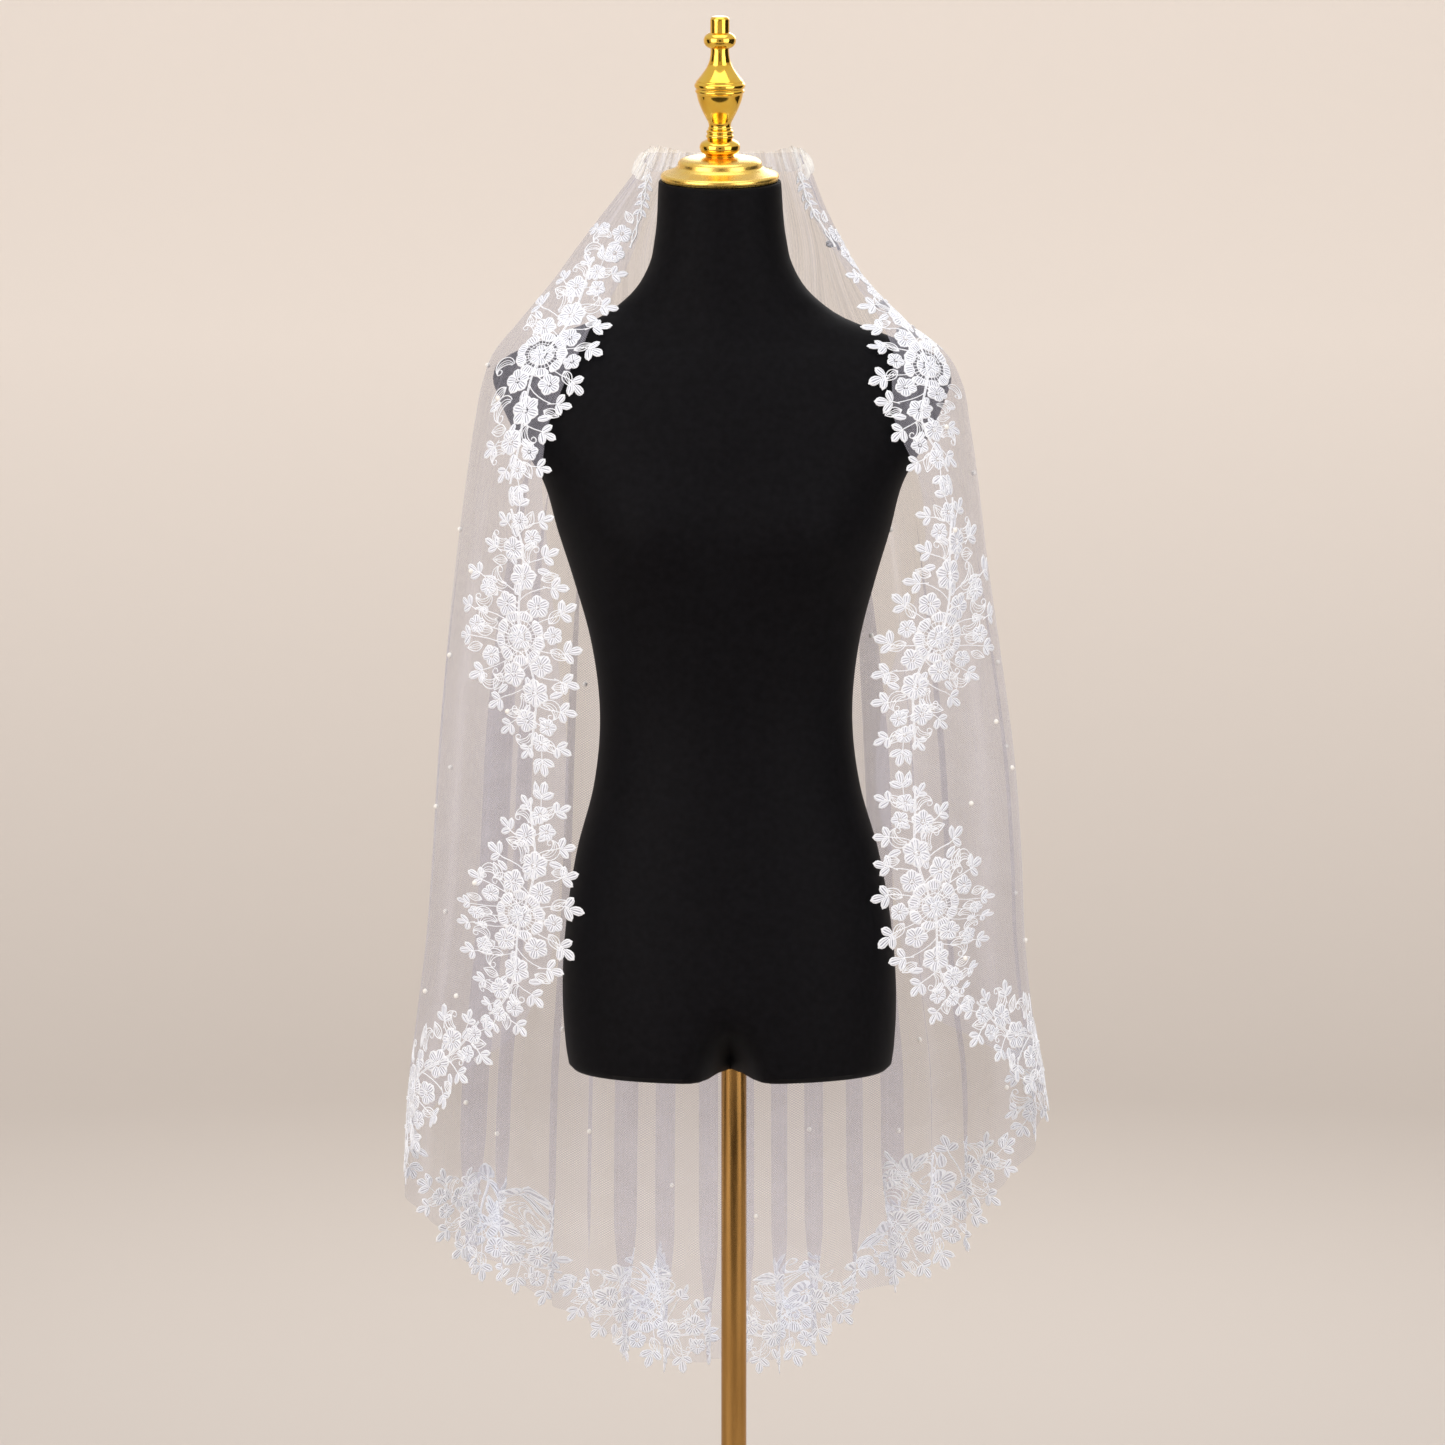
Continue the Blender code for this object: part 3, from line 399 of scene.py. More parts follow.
@dataclass(frozen=True)
class StudioFinish:
    """Warm pale paper of the floor and backdrop, darkened with painted shade from the top of the sweep
    down to the floor.
    """

    wall: tuple = (0.76, 0.695, 0.64)
    # Painted shade: the floor's colour is darker than the wall's, standing in for less light on it
    floor: tuple = (0.56, 0.51, 0.47)
    sweep_top: float = 1.6

    def material(self) -> bpy.types.Material:
        """Return the backdrop's material."""
        shader = Shader("studio_paper")
        parts = shader.node("SeparateXYZ")
        shader.link(shader.coordinates(), parts.inputs["Vector"])
        height = shader.combine("DIVIDE", parts.outputs["Z"], self.sweep_top)
        # Painted shade: the paper darkens from the wall's colour at sweep_top down to the floor's
        shader.link(shader.ramp(height, [(0.0, self.floor), (1.0, self.wall)]), "Base Color")
        shader.set(Roughness=0.95, Specular_IOR_Level=0.1)
        return shader.material


# Curves and meshes


def curve_through(xs: list, ys: list) -> Callable[[np.ndarray], np.ndarray]:
    """Return a smooth curve y(x) through points with rising x.

    Args:
        xs: The points' x, rising.
        ys: The points' y.

    Returns:
        A function of an array of x that gives y, straight past the ends.
    """
    xs, ys = np.array(xs, float), np.array(ys, float)
    steps = np.diff(xs)
    slopes = np.diff(ys) / steps
    inner = (slopes[:-1] * steps[1:] + slopes[1:] * steps[:-1]) / (steps[:-1] + steps[1:])
    tangents = np.concatenate([slopes[:1], inner, slopes[-1:]])

    def value(x: np.ndarray) -> np.ndarray:
        """Return y at x."""
        x = np.asarray(x, float)
        kept = np.clip(x, xs[0], xs[-1])
        i = np.clip(np.searchsorted(xs, kept) - 1, 0, len(steps) - 1)
        h = steps[i]
        t = (kept - xs[i]) / h
        a = (1 + 2 * t) * (1 - t) ** 2
        inside = (a * ys[i] + t * (1 - t) ** 2 * h * tangents[i]
                  + (1 - a) * ys[i + 1] - t * t * (1 - t) * h * tangents[i + 1])
        return inside + np.where(x < xs[0], tangents[0], tangents[-1]) * (x - kept)

    return value


def smooth_step(value: np.ndarray, start: float, end: float) -> np.ndarray:
    """Return 0 at start, 1 at end and a smooth ramp between them."""
    t = np.clip((value - start) / (end - start), 0, 1)
    return t * t * (3 - 2 * t)


def mesh_places(mesh: bpy.types.Mesh) -> np.ndarray:
    """Return a mesh's vertex places as an array."""
    places = np.empty(len(mesh.vertices) * 3)
    mesh.vertices.foreach_get("co", places)
    return places.reshape(-1, 3)


def mesh_of(name: str, bm: bmesh.types.BMesh) -> bpy.types.Mesh:
    """Return a finished bmesh as a mesh, and free it."""
    mesh = bpy.data.meshes.new(name)
    bm.to_mesh(mesh)
    bm.free()
    return mesh


def grid_mesh(name: str, columns: int, rows: int) -> tuple[bpy.types.Mesh, np.ndarray]:
    """Return a flat grid, and its vertices' places from -1 to 1."""
    bm = bmesh.new()
    bmesh.ops.create_grid(bm, x_segments=columns, y_segments=rows, size=1)
    mesh = mesh_of(name, bm)
    return mesh, mesh_places(mesh)


def hang_grid(mesh: bpy.types.Mesh, places: np.ndarray, uv: np.ndarray) -> None:
    """Move a flat grid onto the veil, facing outwards.

    Args:
        mesh: The grid.
        places: Where each vertex goes.
        uv: Each vertex's place in the flat cloth, in metres.
    """
    mesh.vertices.foreach_set("co", places.ravel())
    corner = np.empty(len(mesh.loops), int)
    mesh.loops.foreach_get("vertex_index", corner)
    mesh.uv_layers.new(name="UVMap").data.foreach_set("uv", uv[corner].ravel())
    mesh.flip_normals()
    mesh.update()
    mesh.shade_smooth()


def finish_piece(name: str, bm: bmesh.types.BMesh, material: bpy.types.Material, slot: str,
                 *nodes: str, crease: float = 40.0) -> bpy.types.Object:
    """Make a piece of a finished bmesh, dress it and set it on its body.

    Args:
        name: The piece's name.
        bm: The bmesh, which is freed.
        material: The piece's material.
        slot: The record's material slot.
        *nodes: The solids that the piece replaces.
        crease: The angle, in degrees, past which an edge stays sharp.

    Returns:
        The piece.
    """
    mesh = mesh_of(name, bm)
    mesh.shade_smooth()
    mesh.set_sharp_from_angle(angle=math.radians(crease))
    return set_piece(name, mesh, material, slot, *nodes)


def set_piece(name: str, mesh: bpy.types.Mesh, material: bpy.types.Material, slot: str,
              *nodes: str, gauzy: bool = False) -> bpy.types.Object:
    """Put a finished mesh in the scene as a piece.

    Args:
        name: The piece's name.
        mesh: Its mesh, in the model's frame.
        material: Its material.
        slot: The record's material slot; not used.
        *nodes: The solids that the piece replaces.
        gauzy: Whether it is too thin and open to shade what lies behind it.

    Returns:
        The piece.
    """
    mesh.materials.clear()
    mesh.materials.append(material)
    piece = bpy.data.objects.new(name, mesh)
    bpy.context.collection.objects.link(piece)
    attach(piece, BODY)
    piece.visible_shadow = not gauzy
    if nodes:
        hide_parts(*nodes)
    log.info("%s: %d faces", name, len(mesh.polygons))
    return piece


def spun(profile: list, sides: int, closed: bool = False) -> bmesh.types.BMesh:
    """Return a profile of radius and height spun about the z axis.

    Args:
        profile: Pairs of radius and height, in metres.
        sides: How many steps the turn has.
        closed: Whether the profile's last point joins its first.

    Returns:
        The turned shape, closed and facing out.
    """
    bm = bmesh.new()
    corners = [bm.verts.new((radius, 0, height)) for radius, height in profile]
    pairs = list(zip(corners, corners[1:])) + ([(corners[-1], corners[0])] if closed else [])
    edges = [bm.edges.new(pair) for pair in pairs]
    bmesh.ops.spin(bm, geom=corners + edges, axis=(0, 0, 1), cent=(0, 0, 0), steps=sides,
                   angle=2 * math.pi, use_merge=True)
    bmesh.ops.remove_doubles(bm, verts=bm.verts, dist=1e-6)
    bmesh.ops.recalc_face_normals(bm, faces=bm.faces)
    return bm


def in_mm(profile: list) -> list:
    """Return a profile of millimetres in metres."""
    return [(radius * MM, height * MM) for radius, height in profile]


def arc(centre: tuple, radius: float, start: float, end: float, steps: int) -> list:
    """Return points of an arc of a profile, its angles in degrees."""
    return [(centre[0] + radius * math.cos(math.radians(a)),
             centre[1] + radius * math.sin(math.radians(a)))
            for a in np.linspace(start, end, steps)]


def tubes(paths: list, radii: list, resolution: int) -> bpy.types.Mesh:
    """Return one mesh of round cords with closed ends.

    Args:
        paths: The cords' points, one list each.
        radii: Each cord's radius.
        resolution: 0 for four sides, and two more sides for each step.

    Returns:
        The mesh, with no user.
    """
    curve = bpy.data.curves.new("cords", "CURVE")
    curve.dimensions = "3D"
    curve.bevel_depth = 1.0
    curve.bevel_resolution = resolution
    curve.use_fill_caps = True
    for path, radius in zip(paths, radii):
        spline = curve.splines.new("POLY")
        spline.points.add(len(path) - 1)
        for point, place in zip(spline.points, path):
            point.co = (*place, 1)
            point.radius = radius
    holder = bpy.data.objects.new("cords", curve)
    bpy.context.collection.objects.link(holder)
    bpy.context.view_layer.update()
    mesh = bpy.data.meshes.new_from_object(holder.evaluated_get(
        bpy.context.evaluated_depsgraph_get()))
    bpy.data.objects.remove(holder)
    return mesh


# Dress form and stand


class FormRing(NamedTuple):
    """One level section of the dress form, in millimetres but for z."""

    z: float
    half_width: float
    front: float
    back: float
    power: float


FORM_RINGS = [
    FormRing(0.7000, 138.0, 101, 97, 2.25),
    FormRing(0.7030, 141.5, 105, 101, 2.25),
    FormRing(0.7120, 144.0, 107, 103, 2.25),
    FormRing(0.7300, 146.0, 108, 106, 2.25),
    FormRing(0.7900, 147.0, 106, 115, 2.25),
    FormRing(0.8380, 142.6, 101, 112, 2.20),
    FormRing(0.8940, 133.0, 93, 100, 2.15),
    FormRing(0.9510, 117.5, 86, 84, 2.10),
    FormRing(1.0070, 111.3, 84, 76, 2.10),
    FormRing(1.0775, 118.0, 95, 85, 2.15),
    FormRing(1.1340, 133.0, 106, 98, 2.20),
    FormRing(1.1760, 146.0, 111, 105, 2.20),
    FormRing(1.2180, 158.0, 104, 108, 2.15),
    FormRing(1.2580, 181.0, 96, 107, 1.95),
    FormRing(1.2890, 195.0, 87, 103, 1.75),
    FormRing(1.3120, 200.5, 80, 99, 1.50),
    FormRing(1.3240, 194.0, 76, 96, 1.38),
    FormRing(1.3340, 176.0, 72, 93, 1.32),
    FormRing(1.3470, 143.0, 68, 88, 1.38),
    FormRing(1.3620, 106.0, 64, 82, 1.50),
    FormRing(1.3770, 84.5, 61, 77, 1.75),
    FormRing(1.4080, 62.5, 58, 66, 2.00),
    FormRing(1.4300, 57.6, 56, 60, 2.00),
    FormRing(1.4806, 53.5, 53, 54, 2.00),
]


@dataclass
class DressForm:
    """The limbless torso in jersey, with its cap and finial."""

    jersey: JerseyFinish = JerseyFinish()
    gold: MetalFinish = MetalFinish("polished_gold", (1.0, 0.64, 0.10), (1.0, 0.56, 0.06),
                                    0.08, 0.16)
    satin_gold: MetalFinish = MetalFinish("satin_gold", (1.0, 0.69, 0.18), (1.0, 0.62, 0.12),
                                          0.24, 0.36)
    bottom: float = 0.700
    top: float = 1.4806
    neck_start: float = 1.430
    tilt: float = math.radians(13)
    hip_centre_x: float = -4.4 * MM
    hip_z: float = 0.80
    lean: float = -0.0118
    bust_x: float = 84 * MM
    bust_z: float = 1.172
    bust_height: float = 17 * MM
    bust_width: float = 52 * MM
    notch_depth: float = 88 * MM
    notch_width: float = 18 * MM
    notch_height: float = 34 * MM
    sides: int = 120
    rings: int = 150
    turned_sides: int = 96
    cap_height: float = 21 * MM
    seam_gap: float = 0.3 * MM
    edge_round: float = 1.6 * MM
    columns: dict = field(default_factory=dict)

    def __post_init__(self) -> None:
        """Fit the smooth curves through the table of rings."""
        heights = [ring.z for ring in FORM_RINGS]
        for name in FormRing._fields[1:]:
            unit = 1.0 if name == "power" else MM
            self.columns[name] = curve_through(
                heights, [getattr(ring, name) * unit for ring in FORM_RINGS])

    def centre_x(self, z: np.ndarray) -> np.ndarray:
        """Return where the slightly leaning centre line is at a height."""
        return self.hip_centre_x + self.lean * (z - self.hip_z)

    def places(self, angle: np.ndarray, z: np.ndarray) -> np.ndarray:
        """Return points of the torso; angle 0 is the right side."""
        power = self.columns["power"](z)
        c, s = np.cos(angle), np.sin(angle)
        x = self.columns["half_width"](z) * np.sign(c) * np.abs(c) ** (2 / power)
        depth = np.where(s > 0, self.columns["back"](z), self.columns["front"](z))
        y = depth * np.sign(s) * np.abs(s) ** (2 / power)
        front = np.where(s < 0, np.abs(s), 0)
        height = np.exp(-((z - self.bust_z) / self.bust_width) ** 2)
        breasts = np.maximum(np.exp(-((x - self.bust_x) / self.bust_width) ** 2),
                             np.exp(-((x + self.bust_x) / self.bust_width) ** 2))
        y = y - self.bust_height * height * breasts * front
        fade = np.exp(-((z - self.bottom) / self.notch_height) ** 2)
        y = y + self.notch_depth * fade * np.exp(-(x / self.notch_width) ** 2) * front
        tilted = (z - self.neck_start) / (self.top - self.neck_start)
        z = z + np.clip(tilted, 0, 1) * y * math.tan(self.tilt)
        return np.stack([self.centre_x(z) + x, y, z], axis=-1)

    def torso(self) -> bpy.types.Object:
        """Loft the torso and round its top and bottom edges."""
        bm = bmesh.new()
        bmesh.ops.create_grid(bm, x_segments=self.sides, y_segments=self.rings, size=1)
        grid = np.array([vert.co for vert in bm.verts])
        places = self.places(grid[:, 0] * math.pi,
                             self.bottom + (grid[:, 1] + 1) / 2 * (self.top - self.bottom))
        for vert, place in zip(bm.verts, places):
            vert.co = place
        bmesh.ops.remove_doubles(bm, verts=bm.verts, dist=1e-6)
        caps = bmesh.ops.holes_fill(bm, edges=[e for e in bm.edges if e.is_boundary], sides=0)
        bmesh.ops.recalc_face_normals(bm, faces=bm.faces)
        rims = list({edge for face in caps["faces"] for edge in face.edges})
        bmesh.ops.bevel(bm, geom=rims, offset=self.edge_round, offset_type="OFFSET", segments=3,
                        profile=0.5, affect="EDGES", material=-1)
        return finish_piece("jersey_torso", bm, self.jersey.material(), "black_jersey",
                            "form_torso")

    def seat(self, bm: bmesh.types.BMesh, height: float) -> None:
        """Move a turned shape onto the neck's tilted top, height above it."""
        axis = Vector((0, -math.sin(self.tilt), math.cos(self.tilt)))
        place = Vector((float(self.centre_x(self.top)), 0, self.top)) + axis * height
        turn = Matrix.Rotation(self.tilt, 4, "X")
        bmesh.ops.transform(bm, matrix=Matrix.Translation(place) @ turn, verts=bm.verts)

    def cap(self, gold: bpy.types.Material) -> bpy.types.Object:
        """Turn the stepped cap that closes the neck."""
        slope = curve_through([6.6, 8.0, 9.8, 11.6], [48.6, 44.6, 40.4, 38.2])
        profile = in_mm(
            [(0, 0), (50.0, 0), (51.0, 0.5)] + arc((48.6, 3.3), 3.2, -38, 88, 10)
            + [(float(slope(z)), float(z)) for z in np.linspace(6.8, 11.2, 9)]
            + [(37.6, 11.6), (37.2, 12.2), (36.9, 13.2)] + arc((31.6, 13.4), 5.2, 4, 64, 8)
            + [(31.5, 18.9), (27.0, 19.9), (21.5, 20.6), (15.5, 21.0), (0, 21.0)])
        bm = spun(profile, self.turned_sides)
        self.seat(bm, self.seam_gap)
        return finish_piece("gold_cap", bm, gold, "polished_gold", "neck_cap", crease=50)

    def finial(self, gold: bpy.types.Material) -> bpy.types.Object:
        """Turn the urn that stands on the cap."""
        body = curve_through([25.4, 28.0, 33.3, 39.0, 43.3, 49.0, 54.0],
                             [9.5, 9.9, 12.5, 15.4, 17.3, 19.3, 20.4])
        neck = curve_through([64.6, 66.7, 71.7, 76.7, 81.7, 86.7, 92.2],
                             [20.6, 18.8, 14.8, 11.4, 9.3, 8.3, 7.9])
        profile = in_mm(
            [(0, 0), (12.6, 0), (12.9, 1.2)] + arc((11.9, 7.5), 5.9, -72, 72, 15)
            + [(12.2, 13.9), (11.0, 14.4)] + arc((10.3, 16.9), 1.8, -58, 58, 7)
            + arc((10.3, 20.9), 1.5, -58, 58, 6) + arc((9.4, 23.9), 1.0, -58, 58, 5)
            + [(float(body(z)), float(z)) for z in np.linspace(25.4, 54.0, 20)]
            + arc((19.9, 56.0), 1.6, -50, 42, 6) + arc((18.9, 60.9), 3.3, -58, 58, 10)
            + [(float(neck(z)), float(z)) for z in np.linspace(64.6, 92.2, 22)]
            + [(8.6, 92.5), (8.6, 93.3)] + arc((7.4, 99.5), 6.7, -66, 70, 15)
            + [(8.3, 106.4), (8.3, 116.6)] + arc((5.2, 116.9), 3.1, 0, 90, 8) + [(0, 120.2)])
        bm = spun(profile, self.turned_sides)
        self.seat(bm, self.cap_height + 2 * self.seam_gap)
        return finish_piece("gold_finial", bm, gold, "polished_gold", "finial", crease=50)

    def build(self) -> BVHTree:
        """Build the torso, cap and finial.

        Returns:
            The torso's surface, for the cloth to rest on.
        """
        torso = self.torso()
        self.cap(self.satin_gold.material())
        self.finial(self.gold.material())
        bm = bmesh.new()
        bm.from_mesh(torso.data)
        surface = BVHTree.FromBMesh(bm)
        bm.free()
        return surface


@dataclass
class Stand:
    """The brass pole, its collar and the enamelled base plate, in millimetres."""

    brass: MetalFinish = MetalFinish("brushed_brass", (0.56, 0.31, 0.095), (0.36, 0.185, 0.05), 0.14,
                                     0.26, 14.0)
    enamel: EnamelFinish = EnamelFinish()
    base_radius: float = 160.0
    base_edge: float = 9.0
    base_crown: float = 16.0
    pole_radius: float = 11.3
    collar_radius: float = 17.5
    collar_height: float = 46.0
    form_bottom: float = 700.0
    gap: float = 0.3
    sides: int = 96

    def build(self) -> None:
        """Build the stand's three pieces."""
        brass = self.brass.material()
        foot = self.base_crown + self.gap
        top = self.form_bottom - self.gap
        plate = in_mm(
            [(0, 0), (self.base_radius - 1.5, 0)]
            + arc((self.base_radius - 1.5, 1.5), 1.5, -90, 0, 4)
            + arc((self.base_radius - 2.5, self.base_edge - 2.5), 2.5, 0, 80, 6)
            + [(140, 10.6), (112, 12.6), (88, 13.9), (60, 15.0), (40, 15.7), (28, 16), (0, 16)])
        finish_piece("enamel_base", spun(plate, self.sides), self.enamel.material(),
                     "black_enamel", "base_plate", crease=50)
        pole = in_mm([(0, foot), (self.pole_radius, foot), (self.pole_radius, top), (0, top)])
        finish_piece("brass_pole", spun(pole, self.sides), brass, "brushed_brass", "pole",
                     crease=50)
        bore = self.pole_radius + 1.5 * self.gap
        collar = in_mm(
            [(bore, foot), (self.collar_radius + 4, foot)]
            + arc((self.collar_radius + 2.5, foot + 3.5), 1.5, 0, 90, 5)
            + arc((self.collar_radius + 2.0, foot + 7.0), 2.0, 250, 180, 5)
            + arc((self.collar_radius - 2, foot + self.collar_height - 2), 2.0, 0, 80, 6)
            + [(bore, foot + self.collar_height)])
        finish_piece("brass_collar", spun(collar, self.sides, closed=True), brass,
                     "brushed_brass", "pole_collar", crease=50)


# The veil's drape


class VeilRow(NamedTuple):
    """One level section of the veil, in millimetres but for z.

    Each side has its front edge and its outermost point; back is the middle.
    """

    z: float
    left_edge_x: float
    left_edge_y: float
    left_side_x: float
    left_side_y: float
    back_y: float
    right_side_x: float
    right_side_y: float
    right_edge_x: float
    right_edge_y: float


VEIL_ROWS = [
    VeilRow(1.510, -62, 42, -64, 48, 62.4, 66, 48, 61, 40),
    VeilRow(1.490, -64, 38, -76, 48, 63.4, 74, 50, 64, 38),
    VeilRow(1.465, -68, 30, -95, 47, 73, 84, 54, 71, 35),
    VeilRow(1.430, -76, 14, -123, 42, 88, 103, 60, 91, 27),
    VeilRow(1.394, -90, -2, -151, 33, 97, 127, 53, 113, 13),
    VeilRow(1.358, -110, -18, -181, 24, 105, 163, 38, 137, -6),
    VeilRow(1.330, -122, -38, -203, 18, 110, 196, 24, 146, -28),
    VeilRow(1.305, -134, -50, -212, 15, 113, 209, 15, 143, -44),
    VeilRow(1.270, -150, -61, -219, 15, 116, 216, 15, 147, -58),
    VeilRow(1.225, -156, -72, -226, 18, 119, 223, 18, 166, -61),
    VeilRow(1.150, -150, -78, -236, 24, 122, 233, 24, 173, -60),
    VeilRow(1.060, -142, -78, -246, 32, 130, 247, 32, 146, -62),
    VeilRow(0.967, -134, -74, -254, 40, 140, 260, 40, 131, -63),
    VeilRow(0.880, -141, -69, -260, 47, 150, 267, 47, 146, -60),
    VeilRow(0.800, -152, -62, -267, 52, 159, 271, 52, 159, -56),
    VeilRow(0.740, -178, -53, -275, 55, 165, 278, 55, 190, -47),
    VeilRow(0.680, -218, -37, -283, 58, 171, 289, 58, 232, -33),
    VeilRow(0.600, -250, -18, -288, 60, 177, 292, 60, 262, -14),
    VeilRow(0.370, -262, 0, -290, 62, 188, 292, 62, 270, 0),
]


class HemPoint(NamedTuple):
    """Height of the tulle's lower edge at u, from -1 at the left front."""

    u: float
    z: float


HEM = [
    HemPoint(-1.00, 0.735),
    HemPoint(-0.86, 0.655),
    HemPoint(-0.72, 0.600),
    HemPoint(-0.55, 0.545),
    HemPoint(-0.39, 0.496),
    HemPoint(-0.24, 0.442),
    HemPoint(-0.10, 0.400),
    HemPoint(0.00, 0.388),
    HemPoint(0.10, 0.402),
    HemPoint(0.20, 0.450),
    HemPoint(0.31, 0.492),
    HemPoint(0.43, 0.549),
    HemPoint(0.56, 0.605),
    HemPoint(0.72, 0.668),
    HemPoint(0.86, 0.702),
    HemPoint(1.00, 0.750),
]


class Fold(NamedTuple):
    """A fold that runs down the veil, at u; sizes in millimetres.

    depth stands outward, overlap carries the crest over its own sides, and
    cloth is how many times its own breadth of tulle the fold takes up.
    """

    u: float
    half_width: float
    depth: float
    overlap: float
    cloth: float


FOLDS = [
    Fold(-0.900, 0.075, -7, 0.0, 1.1),
    Fold(-0.600, 0.090, 9, 2.0, 1.2),
    Fold(-0.385, 0.060, 26, 8.5, 2.4),
    Fold(-0.235, 0.060, 14, 5.0, 1.6),
    Fold(-0.116, 0.058, 30, 9.5, 2.6),
    Fold(0.004, 0.052, 27, 8.5, 2.5),
    Fold(0.106, 0.050, 28, 8.0, 2.5),
    Fold(0.224, 0.060, 29, 9.0, 2.5),
    Fold(0.360, 0.065, 13, 4.0, 1.5),
    Fold(0.545, 0.090, 10, 2.5, 1.2),
    Fold(0.870, 0.080, -7, 0.0, 1.1),
]


class Crease(NamedTuple):
    """A soft crease of the tulle, from z top to z bottom.

    It runs from u at its top to u + drift at its bottom; width and depth are
    in millimetres, and a negative depth is a trough.
    """

    u: float
    drift: float
    top: float
    bottom: float
    width: float
    depth: float


CREASES = [
    Crease(-0.955, 0.020, 1.18, 0.78, 6, -2.2),
    Crease(-0.820, -0.050, 1.26, 0.82, 9, 2.6),
    Crease(-0.770, -0.020, 1.14, 0.66, 7, -2.0),
    Crease(-0.690, 0.030, 1.24, 0.62, 10, 2.4),
    Crease(-0.520, -0.030, 1.20, 0.58, 8, -2.4),
    Crease(-0.470, 0.015, 1.02, 0.55, 6, 2.6),
    Crease(-0.310, 0.010, 1.10, 0.50, 5, 2.4),
    Crease(-0.170, -0.012, 0.95, 0.45, 4, -2.0),
    Crease(-0.055, 0.022, 0.90, 0.44, 3.5, 3.0),
    Crease(0.052, -0.015, 1.05, 0.46, 4, -2.2),
    Crease(0.165, 0.020, 1.00, 0.48, 4.5, 2.2),
    Crease(0.300, -0.015, 1.15, 0.52, 6, 2.4),
    Crease(0.450, 0.020, 1.08, 0.58, 7, -2.6),
    Crease(0.500, -0.020, 0.98, 0.62, 6, 2.2),
    Crease(0.640, 0.025, 1.22, 0.68, 9, 2.6),
    Crease(0.735, 0.010, 1.16, 0.70, 8, -2.2),
    Crease(0.800, 0.040, 1.25, 0.80, 9, 2.4),
    Crease(0.950, -0.015, 1.12, 0.80, 6, -2.0),
]


